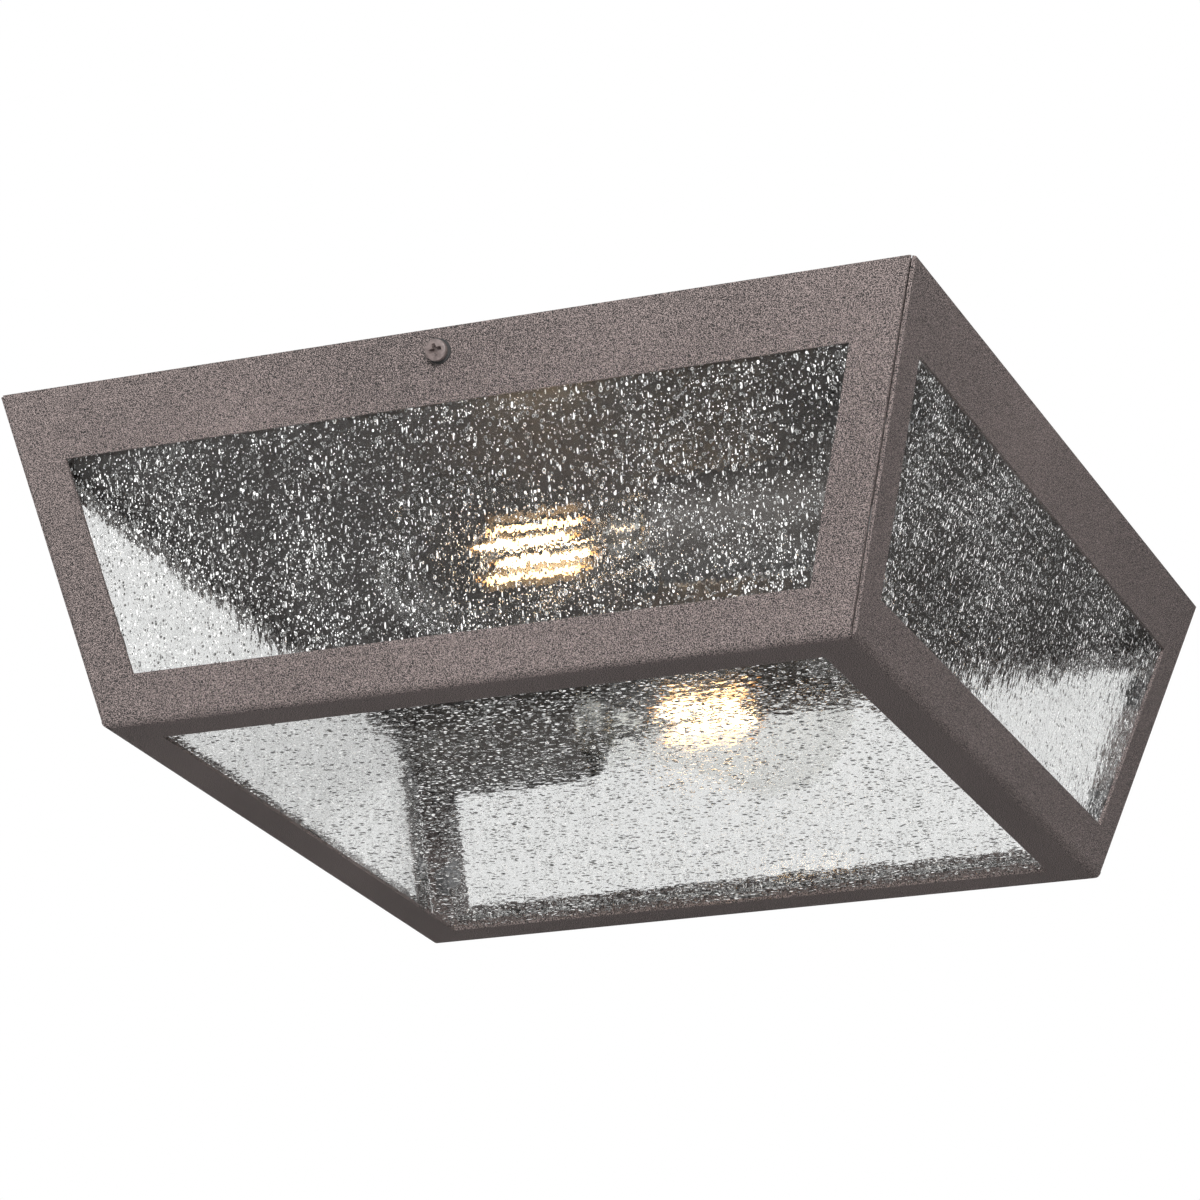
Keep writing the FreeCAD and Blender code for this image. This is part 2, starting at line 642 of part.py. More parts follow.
def holder_cup():
    """Drawn cup with a closed end, whose mouth is necked in round the lamp."""
    wall = CUP_WALL
    bend = CUP_SHOULDER_RADIUS
    slant = math.cos(math.pi / 4)
    mouth = LAMP_SEATED_DEPTH
    start = mouth - bend
    axis = CUP_RADIUS - bend
    inner = bend - wall
    half_turn = inner_half_angle(inner, wall)
    inner_middle = (axis + inner * math.cos(half_turn), start + inner * math.sin(half_turn))
    corner = CUP_CORNER_RADIUS
    low = CUP_END + corner
    inner_low = CUP_END + wall
    inner_corner = (CUP_RADIUS - corner + (corner - wall) * slant, low - (corner - wall) * slant)
    bore = NIPPLE_RADIUS + NIPPLE_CLEARANCE
    cup = turned([
        (bore, CUP_END),
        (CUP_RADIUS - corner, CUP_END),
        ((CUP_RADIUS - corner + corner * slant, low - corner * slant), (CUP_RADIUS, low)),
        (CUP_RADIUS, start),
        ((axis + bend * slant, start + bend * slant), (axis + wall, mouth - shoulder_fall(bend, wall))),
        (axis + wall, start + shoulder_rise(inner, wall)),
        (inner_middle, (CUP_RADIUS - wall, start)),
        (CUP_RADIUS - wall, low),
        (inner_corner, (CUP_RADIUS - corner, inner_low)),
        (bore, inner_low),
    ])
    return cup.cut(lead_hole())


def lead_hole():
    """Cutter for the holes in the cup's end and the bracket where the leads come out."""
    low = CUP_END - BRACKET_SHEET - OVERRUN
    return disc(LEAD_HOLE_RADIUS, low, CUP_END + OVERRUN, LEAD_HOLE_OFFSET)


def shoulder_fall(bend, reach):
    """How far an arc's end lies below its top, this far along its radius."""
    return bend - math.sqrt(bend ** 2 - reach ** 2)


def shoulder_rise(bend, reach):
    return math.sqrt(bend ** 2 - reach ** 2)


def inner_half_angle(bend, reach):
    return math.acos(reach / bend) / 2


def holder_body():
    """Moulded lampholder body with its screw cavity and a threaded back hole."""
    cavity = SHELL_OUTER_RADIUS + SHELL_BODY_CLEARANCE
    chamfer = BODY_EDGE_CHAMFER
    nipple = NIPPLE_RADIUS + NIPPLE_CLEARANCE
    hole_top = BODY_BACK + NIPPLE_ENGAGEMENT + NIPPLE_CLEARANCE
    body = turned([
        (nipple, BODY_BACK),
        (BODY_RADIUS - chamfer, BODY_BACK),
        (BODY_RADIUS, BODY_BACK + chamfer),
        (BODY_RADIUS, BODY_FRONT),
        (cavity, BODY_FRONT),
        (cavity, BODY_FLOOR),
        (0, BODY_FLOOR),
        (0, hole_top),
        (nipple, hole_top),
    ])
    radius = TERMINAL_SHANK_RADIUS + THREAD_CLEARANCE
    high = BODY_BACK + TERMINAL_DEPTH + THREAD_CLEARANCE
    return body.cut([disc(radius, BODY_BACK - OVERRUN, high, 0, y) for y in terminal_places()])


def holder_shell():
    """Thin screw shell that lines the cavity, with a rim round the centre contact."""
    top = BODY_FRONT - SHELL_SETBACK
    low = BODY_FLOOR
    return turned([
        (SHELL_FLOOR_HOLE_RADIUS, low),
        (SHELL_OUTER_RADIUS, low),
        (SHELL_OUTER_RADIUS, top),
        (SHELL_INNER_RADIUS, top),
        (SHELL_INNER_RADIUS, low + SHELL_WALL),
        (SHELL_FLOOR_HOLE_RADIUS, low + SHELL_WALL),
    ])


def centre_leaf():
    """Arched brass leaf on the cavity floor, under the lamp's button."""
    low = BODY_FLOOR
    top = -CONTACT_GAP
    sheet = LEAF_SHEET
    end = LEAF_HALF_LENGTH
    bend = end - LEAF_FOOT
    crown = LEAF_TOP_HALF
    outline = [
        (-end, low), (-bend, low), (-crown, top - sheet), (crown, top - sheet), (bend, low), (end, low),
        (end, low + sheet), (bend + sheet / 2, low + sheet), (crown + sheet / 2, top),
        (-crown - sheet / 2, top), (-bend - sheet / 2, low + sheet), (-end, low + sheet),
    ]
    half = LEAF_WIDTH / 2
    return polygon_face([(x, -half, z) for x, z in outline]).extrude(Vector(0, LEAF_WIDTH, 0))


def nipple_end():
    return CUP_END - BRACKET_SHEET - NIPPLE_NUT_THICKNESS - NIPPLE_OVERHANG


def holder_nipple():
    low = nipple_end()
    high = BODY_BACK + NIPPLE_ENGAGEMENT
    return disc(NIPPLE_RADIUS, low, high).cut(disc(NIPPLE_BORE_RADIUS, low - OVERRUN, high + OVERRUN))


def nipple_nuts():
    """One nut behind the bracket and one inside the cup, clamping both together."""
    outer_high = CUP_END - BRACKET_SHEET
    nuts = []
    for low in (outer_high - NIPPLE_NUT_THICKNESS, CUP_END + CUP_WALL):
        high = low + NIPPLE_NUT_THICKNESS
        bore = disc(NIPPLE_RADIUS + NIPPLE_CLEARANCE, low - OVERRUN, high + OVERRUN)
        nut = rotated(hexagon(NIPPLE_NUT_ACROSS_FLATS, low, high), Vector(0, 0, 1), 90)
        nuts.append(nut.cut(bore))
    return group(nuts)


def terminal_places():
    return (-TERMINAL_SPACING / 2, TERMINAL_SPACING / 2)


def terminal_screws():
    """Two slotted wiring screws on the back of the moulded body."""
    low = BODY_BACK - TERMINAL_HEAD_HEIGHT
    screws = []
    for y in terminal_places():
        screw = disc(TERMINAL_HEAD_RADIUS, low, BODY_BACK, 0, y)
        screw = screw.fuse(disc(TERMINAL_SHANK_RADIUS, BODY_BACK, BODY_BACK + TERMINAL_DEPTH, 0, y))
        half = TERMINAL_SLOT_WIDTH / 2
        start = Vector(-TERMINAL_HEAD_RADIUS, y - half, low - OVERRUN)
        slot = Part.makeBox(
            2 * TERMINAL_HEAD_RADIUS, TERMINAL_SLOT_WIDTH, OVERRUN + TERMINAL_SLOT_DEPTH, start
        )
        screws.append(screw.cut(slot))
    return group(screws)


def holder_bracket():
    """Angle bracket drawn for lamp a: upright behind the cup, foot under the canopy."""
    near = CUP_END_OFFSET
    far = near + BRACKET_FOOT
    top = -CANOPY_DEPTH
    sheet = BRACKET_SHEET
    bend = BRACKET_BEND_RADIUS
    inner = bend - sheet
    slant = math.cos(math.pi / 4)
    low = -LAMP_DROP - BRACKET_WIDTH / 2
    centre = Vector(near + bend, 0, top - bend)
    corner = Vector(-slant, 0, slant)
    edges = [
        Part.LineSegment(Vector(near, 0, low), Vector(near, 0, top - bend)),
        Part.Arc(Vector(near, 0, top - bend), centre + corner * bend, Vector(near + bend, 0, top)),
        Part.LineSegment(Vector(near + bend, 0, top), Vector(far, 0, top)),
        Part.LineSegment(Vector(far, 0, top), Vector(far, 0, top - sheet)),
        Part.LineSegment(Vector(far, 0, top - sheet), Vector(near + bend, 0, top - sheet)),
        Part.Arc(
            Vector(near + bend, 0, top - sheet), centre + corner * inner, Vector(near + sheet, 0, top - bend)
        ),
        Part.LineSegment(Vector(near + sheet, 0, top - bend), Vector(near + sheet, 0, low)),
        Part.LineSegment(Vector(near + sheet, 0, low), Vector(near, 0, low)),
    ]
    half = BRACKET_WIDTH / 2
    face = Part.Face(Part.Wire([edge.toShape() for edge in edges]))
    angle = moved(face, 0, -LAMP_OFFSET - half, 0).extrude(Vector(0, BRACKET_WIDTH, 0))
    across = Vector(1, 0, 0)
    start = near - OVERRUN
    reach = BRACKET_FOOT + 2 * OVERRUN
    round_end = Part.makeCylinder(half, reach, Vector(start, -LAMP_OFFSET, -LAMP_DROP), across)
    upper = Part.makeBox(reach, BRACKET_WIDTH, LAMP_DROP, Vector(start, -LAMP_OFFSET - half, -LAMP_DROP))
    bore = NIPPLE_RADIUS + NIPPLE_CLEARANCE
    holes = [Part.makeCylinder(bore, reach, Vector(start, -LAMP_OFFSET, -LAMP_DROP), across)]
    holes.append(on_lamp_axis(lead_hole(), "a"))
    radius = RIVET_SHANK_RADIUS + RIVET_CLEARANCE
    holes += [disc(radius, top - bend - OVERRUN, top + OVERRUN, x, y) for x, y in rivet_places()]
    return angle.common(round_end.fuse(upper)).cut(holes)


def rivet_places():
    """Two rivets through each bracket's foot, first those of lamp a."""
    x = CUP_END_OFFSET + (BRACKET_BEND_RADIUS + BRACKET_FOOT) / 2
    first = [(x, -LAMP_OFFSET + side * RIVET_SPACING / 2) for side in (-1, 1)]
    return first + [(-px, -py) for px, py in first]


def bracket_rivets():
    head_seat = -CANOPY_DEPTH - BRACKET_SHEET
    top = CANOPY_FLOOR_TOP + RIVET_TAIL_HEIGHT
    low = head_seat - RIVET_HEAD_HEIGHT
    dome = (RIVET_HEAD_RADIUS ** 2 + RIVET_HEAD_HEIGHT ** 2) / (2 * RIVET_HEAD_HEIGHT)
    centre = (0, low + dome)
    middle = arc_middle(centre, dome, (0, low), (RIVET_HEAD_RADIUS, head_seat))
    rivet = turned([
        (0, top),
        (RIVET_TAIL_RADIUS, top),
        (RIVET_TAIL_RADIUS, CANOPY_FLOOR_TOP),
        (RIVET_SHANK_RADIUS, CANOPY_FLOOR_TOP),
        (RIVET_SHANK_RADIUS, head_seat),
        (RIVET_HEAD_RADIUS, head_seat),
        (middle, (0, low)),
    ])
    return group([moved(rivet, x, y, 0) for x, y in rivet_places()])


# Lamps

def envelope_path(offset):
    """Neck, flowing shoulder and round crown of the glass, this far inside its outer face.

    Gives the neck's two ends, the shoulder's middle, where it meets the crown, the
    crown's middle and its top.
    """
    crown = LAMP_LENGTH - LAMP_RADIUS
    rise = crown - LAMP_NECK_END
    flow = (LAMP_NECK_RADIUS ** 2 + rise ** 2 - LAMP_RADIUS ** 2) / (2 * (LAMP_RADIUS - LAMP_NECK_RADIUS))
    flow_centre = (LAMP_NECK_RADIUS + flow, LAMP_NECK_END)
    reach = LAMP_RADIUS + flow
    ball = LAMP_RADIUS - offset
    meet = (ball * flow_centre[0] / reach, crown - ball * rise / reach)
    neck = LAMP_NECK_RADIUS - offset
    half_turn = math.atan2(rise, flow_centre[0]) / 2
    bend = flow + offset
    shoulder = (flow_centre[0] - bend * math.cos(half_turn), LAMP_NECK_END + bend * math.sin(half_turn))
    crown_middle = arc_middle((0, crown), ball, meet, (0, crown + ball))
    return (neck, LAMP_NECK_START), (neck, LAMP_NECK_END), shoulder, meet, crown_middle, (0, crown + ball)


def lamp_glass():
    start, neck, shoulder, meet, middle, top = envelope_path(0)
    in_start, in_neck, in_shoulder, in_meet, in_middle, in_top = envelope_path(LAMP_GLASS)
    return turned([
        start, neck, (shoulder, meet), (middle, top),
        in_top, (in_middle, in_meet), (in_shoulder, in_neck), in_start,
    ])


def lamp_base():
    """Thin screw base: open bottom, straight threaded length and flared skirt."""
    wall = BASE_WALL
    return turned([
        (BASE_HOLE_RADIUS, BASE_START),
        (BASE_RADIUS, BASE_CONE_END),
        (BASE_RADIUS, BASE_STRAIGHT_END),
        (BASE_SKIRT_RADIUS, BASE_STRAIGHT_END + BASE_SKIRT_RADIUS - BASE_RADIUS),
        (BASE_SKIRT_RADIUS, BASE_END),
        (BASE_SKIRT_RADIUS - wall, BASE_END),
        (BASE_SKIRT_RADIUS - wall, BASE_STRAIGHT_END + BASE_SKIRT_RADIUS - BASE_RADIUS + wall),
        (BASE_RADIUS - wall, BASE_STRAIGHT_END + wall),
        (BASE_RADIUS - wall, BASE_CONE_END + wall),
        (BASE_HOLE_RADIUS, BASE_START + wall),
    ])


def lamp_insulator():
    radius = BASE_HOLE_RADIUS - INSULATOR_GAP
    return turned([
        (0, INSULATOR_START),
        (INSULATOR_TIP_RADIUS, INSULATOR_START),
        (radius, BASE_START),
        (radius, INSULATOR_END),
        (0, INSULATOR_END),
    ])


def lamp_button():
    corner = BUTTON_ROUND
    slant = corner * math.cos(math.pi / 4)
    inner = BUTTON_RADIUS - corner
    return turned([
        (0, 0),
        (inner, 0),
        ((inner + slant, corner - slant), (BUTTON_RADIUS, corner)),
        (BUTTON_RADIUS, INSULATOR_START),
        (0, INSULATOR_START),
    ])


def lamp_stem():
    """Flared glass foot sealed in the neck, pressed top and slender centre post."""
    foot = LAMP_NECK_RADIUS - LAMP_GLASS - STEM_SEAL_GAP
    return turned([
        (0, STEM_START),
        (foot, STEM_START),
        (STEM_TUBE_RADIUS, STEM_FLARE_END),
        (STEM_TUBE_RADIUS, STEM_TUBE_END),
        (STEM_PRESS_RADIUS, STEM_PRESS_END),
        (POST_RADIUS, STEM_PRESS_END),
        (POST_RADIUS, POST_END),
        (0, POST_END),
    ])


def filament_angles():
    step = 360 / FILAMENT_COUNT
    return [math.radians(FILAMENT_TURN + step * number) for number in range(FILAMENT_COUNT)]


def lamp_filaments():
    radius = FILAMENT_CIRCLE_RADIUS
    high = FILAMENT_START + FILAMENT_LENGTH
    return group([
        disc(FILAMENT_RADIUS, FILAMENT_START, high, radius * math.cos(a), radius * math.sin(a))
        for a in filament_angles()
    ])


def lamp_wires():
    """Support wires from the press to the filaments, and from them to the post's top."""
    wires = []
    low_z = FILAMENT_START - WIRE_END_GAP
    high_z = FILAMENT_START + FILAMENT_LENGTH - FILAMENT_RADIUS
    for angle in filament_angles():
        out = Vector(math.cos(angle), math.sin(angle), 0)
        foot = out * (STEM_PRESS_RADIUS + WIRE_RADIUS) + Vector(0, 0, STEM_PRESS_END)
        low_tip = out * FILAMENT_CIRCLE_RADIUS + Vector(0, 0, low_z - WIRE_RADIUS)
        wires.append(rod_between(foot, low_tip, WIRE_RADIUS))
        lead = Vector(0, 0, POST_END - WIRE_RADIUS)
        inner = out * (POST_RADIUS + WIRE_END_GAP) + lead
        reach = FILAMENT_CIRCLE_RADIUS - FILAMENT_RADIUS - WIRE_END_GAP
        outer = out * reach + Vector(0, 0, min(high_z, POST_END - WIRE_RADIUS))
        wires.append(rod_between(inner, outer, WIRE_RADIUS))
    return group(wires)


def build_parts():
    parts = {
        "cage": make_cage(),
        "glass_bottom": floor_pane(),
        "clips_bottom": floor_clips(),
        "canopy": make_canopy(),
        "ceiling_gasket": make_gasket(),
        "clinch_nuts": clinch_nuts(),
        "crossbar": make_crossbar(),
        "mounting_studs": mounting_studs(),
        "stud_washers": stud_washers(),
        "cap_nuts": cap_nuts(),
        "ground_screw": ground_screw(),
        "wire_bushing": wire_bushing(),
        "bracket_rivets": bracket_rivets(),
    }
    for side in WALL_TURNS:
        parts["glass_" + side] = on_wall(side_pane(), side)
        parts["clips_" + side] = side_clips(side)
    for side in ("front", "back"):
        parts["cage_screw_" + side] = cage_screw(side)
        parts["screw_seal_" + side] = cage_screw_seal(side)
    pieces = {
        "holder_cup": holder_cup(),
        "holder_body": holder_body(),
        "holder_shell": holder_shell(),
        "centre_contact": centre_leaf(),
        "holder_nipple": holder_nipple(),
        "nipple_nuts": nipple_nuts(),
        "terminal_screws": terminal_screws(),
        "lamp_glass": lamp_glass(),
        "lamp_base": lamp_base(),
        "lamp_insulator": lamp_insulator(),
        "lamp_button": lamp_button(),
        "lamp_stem": lamp_stem(),
        "lamp_filaments": lamp_filaments(),
        "lamp_wires": lamp_wires(),
    }
    for name, shape in pieces.items():
        for which in ("a", "b"):
            parts[name + "_" + which] = on_lamp_axis(shape, which)
    parts["holder_bracket_a"] = holder_bracket()
    parts["holder_bracket_b"] = rotated(holder_bracket(), Vector(0, 0, 1), 180)
    return parts


def main():
    os.makedirs("parts", exist_ok=True)
    for name, shape in build_parts().items():
        shape.exportStep(os.path.join("parts", name + ".step"))
        box = shape.BoundBox
        print(
            name, len(shape.Solids), "solids", "valid" if shape.isValid() else "INVALID",
            "volume %.1f" % shape.Volume,
            "x %.1f %.1f y %.1f %.1f z %.1f %.1f"
            % (box.XMin, box.XMax, box.YMin, box.YMax, box.ZMin, box.ZMax),
        )


main()
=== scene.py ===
"""Outdoor flush mount ceiling light: its finishes, its lit lamps, its seeded panes and a plain studio."""

from __future__ import annotations

import json
import logging
import math
from dataclasses import dataclass, field
from enum import Enum
from typing import Callable, Sequence

import bmesh
import bpy
from mathutils import Matrix, Vector

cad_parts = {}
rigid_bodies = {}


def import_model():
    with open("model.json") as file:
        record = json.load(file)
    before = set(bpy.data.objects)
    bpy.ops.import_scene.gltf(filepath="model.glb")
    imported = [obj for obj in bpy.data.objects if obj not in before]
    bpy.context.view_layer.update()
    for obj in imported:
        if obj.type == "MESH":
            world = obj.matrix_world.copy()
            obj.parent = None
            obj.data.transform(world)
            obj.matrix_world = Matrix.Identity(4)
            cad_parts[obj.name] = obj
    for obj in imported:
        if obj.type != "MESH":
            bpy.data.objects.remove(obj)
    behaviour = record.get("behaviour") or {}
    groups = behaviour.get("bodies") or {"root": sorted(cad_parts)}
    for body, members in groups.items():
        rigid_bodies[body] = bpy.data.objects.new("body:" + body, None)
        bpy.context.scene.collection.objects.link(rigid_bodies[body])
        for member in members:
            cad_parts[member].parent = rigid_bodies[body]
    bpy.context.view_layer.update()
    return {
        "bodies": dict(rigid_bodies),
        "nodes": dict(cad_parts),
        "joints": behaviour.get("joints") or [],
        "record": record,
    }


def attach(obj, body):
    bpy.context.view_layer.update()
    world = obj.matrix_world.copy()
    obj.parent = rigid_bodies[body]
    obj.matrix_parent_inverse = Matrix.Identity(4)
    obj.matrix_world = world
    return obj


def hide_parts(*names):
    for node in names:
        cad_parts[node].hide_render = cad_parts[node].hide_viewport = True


LOG = logging.getLogger("flush_mount_light")
MM = 0.001

Colour = tuple[float, float, float]
Span = tuple[float, float]
Point = tuple[float, float]
Outline = list[Point]
Ring = list[tuple[float, float, float]]

WHITE: Colour = (1.0, 1.0, 1.0)
# White of the seeds' marks and rims, which also glow with it as a painted highlight.
SEED_HIGHLIGHT_WHITE: Colour = (0.86, 0.86, 0.85)
CLOTH_BLACK: tuple[Colour, Colour] = ((0.02, 0.02, 0.02), (0.035, 0.035, 0.035))
PLASTER: tuple[Colour, Colour] = ((0.58, 0.58, 0.58), (0.64, 0.64, 0.64))
# Roughness of a frosted mark and of black cloth.
FROST = 0.9
# Radius in millimetres under which a ring is one point.
POLE = 1e-6
# Crease angle that leaves a bubble smooth everywhere.
SMOOTH_ALL_ROUND = 180.0
# Random draws of the bubbles: a high rarity makes large ones few.
BUBBLE_SIZE_SEED = 7
BUBBLE_SIZE_RARITY = 4.0
BUBBLE_DRAW_SEED = 11


class Wall(Enum):
    """The cage's walls, each with its turn about Z from the front one, in degrees."""

    FRONT = 0
    RIGHT = 90
    BACK = 180
    LEFT = 270

    @property
    def label(self) -> str:
        """Name of the wall as the nodes spell it."""
        return self.name.lower()


class LampPlace(Enum):
    """The two lamps, which lie head to tail."""

    A = "a"
    B = "b"


class Grain(Enum):
    """Which way the streaks of a pane run."""

    UPRIGHT = "upright"
    LEVEL = "level"


# Shader tools


class Signal:
    """A number socket in a node tree, which can be used in a Python expression."""

    def __init__(self, board: NodeBoard, socket: bpy.types.NodeSocket) -> None:
        """Keeps the socket and the board that its Math nodes go to.

        Args:
            board: The node tree's board.
            socket: The number socket.
        """
        self.board = board
        self.socket = socket

    def _math(self, operation: str, first: Value, second: Value = 0.0) -> Signal:
        """Adds one Math node.

        Args:
            operation: The node's operation.
            first: Its first value.
            second: Its second value, where it takes one.

        Returns:
            The node's result.
        """
        node = self.board.add("ShaderNodeMath", {"operation": operation}, {0: first, 1: second})
        return Signal(self.board, node.outputs[0])

    def __add__(self, other: Value) -> Signal:
        """Sum."""
        return self._math("ADD", self, other)

    __radd__ = __add__

    def __mul__(self, other: Value) -> Signal:
        """Product."""
        return self._math("MULTIPLY", self, other)

    __rmul__ = __mul__

    def __sub__(self, other: Value) -> Signal:
        """Difference."""
        return self._math("SUBTRACT", self, other)

    def __rsub__(self, other: Value) -> Signal:
        """Reflected difference."""
        return self._math("SUBTRACT", other, self)

    def __truediv__(self, other: Value) -> Signal:
        """Quotient."""
        return self._math("DIVIDE", self, other)

    def __rtruediv__(self, other: Value) -> Signal:
        """Reflected quotient."""
        return self._math("DIVIDE", other, self)

    def __pow__(self, other: Value) -> Signal:
        """Power."""
        return self._math("POWER", self, other)

    def __gt__(self, other: Value) -> Signal:
        """One where this is the greater, else zero."""
        return self._math("GREATER_THAN", self, other)

    def most(self, other: Value) -> Signal:
        """Larger of the two."""
        return self._math("MAXIMUM", self, other)

    def least(self, other: Value) -> Signal:
        """Smaller of the two."""
        return self._math("MINIMUM", self, other)

    def swing(self, reach: float) -> Signal:
        """A noise about 0.5 as a swing about 0, half of the reach to either side."""
        return (self - 0.5) * reach

    def band(self, span: Span) -> Signal:
        """Rises smoothly from 0 at one value to 1 at the other.

        Args:
            span: Where the result is 0, and where it is 1.

        Returns:
            The smoothed share.
        """
        node = self.board.add(
            "ShaderNodeMapRange",
            {"interpolation_type": "SMOOTHSTEP"},
            {"Value": self, "From Min": span[0], "From Max": span[1]},
        )
        return Signal(self.board, node.outputs["Result"])

    def rise(self, low: Signal, high: Signal, least_gap: float = 0.001) -> Signal:
        """Rises straight from 0 at one signal to 1 at another.

        Args:
            low: Where the result is 0.
            high: Where the result is 1.
            least_gap: Smallest distance between the two that is divided by.

        Returns:
            The share.
        """
        return ((self - low) / (high - low).most(least_gap)).most(0.0).least(1.0)


Value = Signal | float


class NodeBoard:
    """A node tree, with one method that adds any node."""

    def __init__(self, tree: bpy.types.NodeTree) -> None:
        """Takes over a tree and empties it.

        Args:
            tree: The tree.
        """
        self.tree = tree
        self.tree.nodes.clear()

    def add(
        self,
        kind: str,
        settings: dict[str, object] | None = None,
        sockets: dict[str | int, object] | None = None,
    ) -> bpy.types.Node:
        """Adds a node, gives it its settings and then fills its sockets.

        Args:
            kind: The node's type.
            settings: Its settings; "stops" holds a ramp's places and colours.
            sockets: Value, signal or socket for each input, by name or number.

        Returns:
            The node.
        """
        node = self.tree.nodes.new(kind)
        for key, setting in (settings or {}).items():
            if key == "stops":
                elements = node.color_ramp.elements
                while len(elements) < len(setting):
                    elements.new(1.0)
                for element, (place, colour) in zip(elements, setting):
                    element.position = place
                    element.color = (*colour, 1.0)
            else:
                setattr(node, key, setting)
        for key, value in (sockets or {}).items():
            target = node.inputs[key]
            if isinstance(value, Signal):
                self.tree.links.new(value.socket, target)
            elif isinstance(value, bpy.types.NodeSocket):
                self.tree.links.new(value, target)
            elif isinstance(value, tuple) and len(value) == 3 and target.type == "RGBA":
                target.default_value = (*value, 1.0)
            else:
                target.default_value = value
        return node

    def ray(self, *kinds: str) -> list[Signal]:
        """Signals that are one for rays of a kind.

        Args:
            kinds: The kinds, as the Light Path node names them.

        Returns:
            One signal for each kind.
        """
        path = self.add("ShaderNodeLightPath")
        return [Signal(self, path.outputs[f"Is {kind} Ray"]) for kind in kinds]

    def mixed(self, share: Value, first: bpy.types.Node, second: bpy.types.Node) -> bpy.types.Node:
        """Mix of two shaders.

        Args:
            share: 0 for the first shader, 1 for the second.
            first: First shader.
            second: Second shader.

        Returns:
            The mix.
        """
        sockets = {0: share, 1: first.outputs[0], 2: second.outputs[0]}
        return self.add("ShaderNodeMixShader", {}, sockets)


class NodeSheet(NodeBoard):
    """The node tree of one material."""

    def __init__(self, name: str) -> None:
        """Starts an empty material.

        Args:
            name: The material's name.
        """
        self.material = bpy.data.materials.new(name)
        self.material.use_nodes = True
        super().__init__(self.material.node_tree)

    def place(self) -> bpy.types.NodeSocket:
        """Object coordinates, in metres."""
        return self.add("ShaderNodeTexCoord").outputs["Object"]

    def stretched(self, scale: Sequence[float]) -> bpy.types.NodeSocket:
        """Object coordinates, scaled along each axis.

        Args:
            scale: Scale along each axis.

        Returns:
            The new coordinates.
        """
        sockets = {"Vector": self.place(), "Scale": tuple(scale)}
        return self.add("ShaderNodeMapping", {}, sockets).outputs["Vector"]

    def noise(self, scale: float, detail: float, where: bpy.types.NodeSocket | None = None) -> Signal:
        """Soft noise about 0.5.

        Args:
            scale: Waves per metre of the coordinates.
            detail: Octaves above the first.
            where: Coordinates, or none for the object's own.

        Returns:
            The noise value.
        """
        sockets = {"Vector": where or self.place(), "Scale": scale, "Detail": detail}
        return Signal(self, self.add("ShaderNodeTexNoise", {}, sockets).outputs[0])

    def cells(self, scale: float, where: bpy.types.NodeSocket | None = None) -> tuple[Signal, Signal, Signal]:
        """Distance to the nearest of a cloud of points, and two chance values of that point.

        Args:
            scale: Points per metre of the coordinates.
            where: Coordinates, or none for the object's own.

        Returns:
            The distance, in cells, and the two chance values, each from 0 to 1.
        """
        sockets = {"Vector": where or self.place(), "Scale": scale}
        node = self.add("ShaderNodeTexVoronoi", {}, sockets)
        parts = self.add("ShaderNodeSeparateColor", {}, {"Color": node.outputs["Color"]})
        chances = (Signal(self, parts.outputs["Red"]), Signal(self, parts.outputs["Green"]))
        return Signal(self, node.outputs["Distance"]), *chances

    def blend(self, share: Value, low: Colour, high: Colour) -> bpy.types.NodeSocket:
        """Colour between two others.

        Args:
            share: 0 for the first colour, 1 for the second.
            low: First colour.
            high: Second colour.

        Returns:
            The mixed colour.
        """
        node = self.add("ShaderNodeMix", {"data_type": "RGBA"}, {0: share, 6: low, 7: high})
        return node.outputs[2]

    def relief(
        self, height: Signal, depth: float, base: bpy.types.NodeSocket | None = None
    ) -> bpy.types.NodeSocket:
        """Normal for a surface that rises with a signal.

        Args:
            height: Height signal, from 0 to 1.
            depth: Height in metres where the signal is 1.
            base: Normal that the relief is added to, or none for the surface's own.

        Returns:
            The normal.
        """
        sockets = {"Height": height, "Distance": depth, "Strength": 1.0}
        if base is not None:
            sockets["Normal"] = base
        return self.add("ShaderNodeBump", {}, sockets).outputs["Normal"]

    def facets(self, lean: float, where: bpy.types.NodeSocket) -> bpy.types.NodeSocket:
        """Normal that leans its own way in each cell of a pattern, as on drawn glass.

        Args:
            lean: Largest difference between two cells' slopes.
            where: Coordinates, one cell to each unit.

        Returns:
            The normal.
        """
        chance = self.add("ShaderNodeTexVoronoi", {}, {"Vector": where, "Scale": 1.0}).outputs["Color"]
        back = -lean / 2.0
        spread = {0: chance, 1: (lean, lean, lean), 2: (back, back, back)}
        slope = self.add("ShaderNodeVectorMath", {"operation": "MULTIPLY_ADD"}, spread).outputs[0]
        facing = self.add("ShaderNodeNewGeometry").outputs["Normal"]
        leaning = self.add("ShaderNodeVectorMath", {"operation": "ADD"}, {0: facing, 1: slope}).outputs[0]
        return self.add("ShaderNodeVectorMath", {"operation": "NORMALIZE"}, {0: leaning}).outputs[0]

    def surface(self, **sockets: object) -> bpy.types.Node:
        """Adds the main shader.

        Args:
            sockets: Its sockets, named with underscores for spaces.

        Returns:
            The shader.
        """
        named = {key.replace("_", " "): value for key, value in sockets.items()}
        return self.add("ShaderNodeBsdfPrincipled", {}, named)

    def close(self, shader: bpy.types.Node) -> bpy.types.Material:
        """Links a shader to the output and returns the finished material."""
        self.add("ShaderNodeOutputMaterial", {}, {"Surface": shader.outputs[0]})
        return self.material


# Finishes


def scaled(colour: Colour, share: float) -> Colour:
    """A colour made darker or lighter by a share."""
    return tuple(share * part for part in colour)


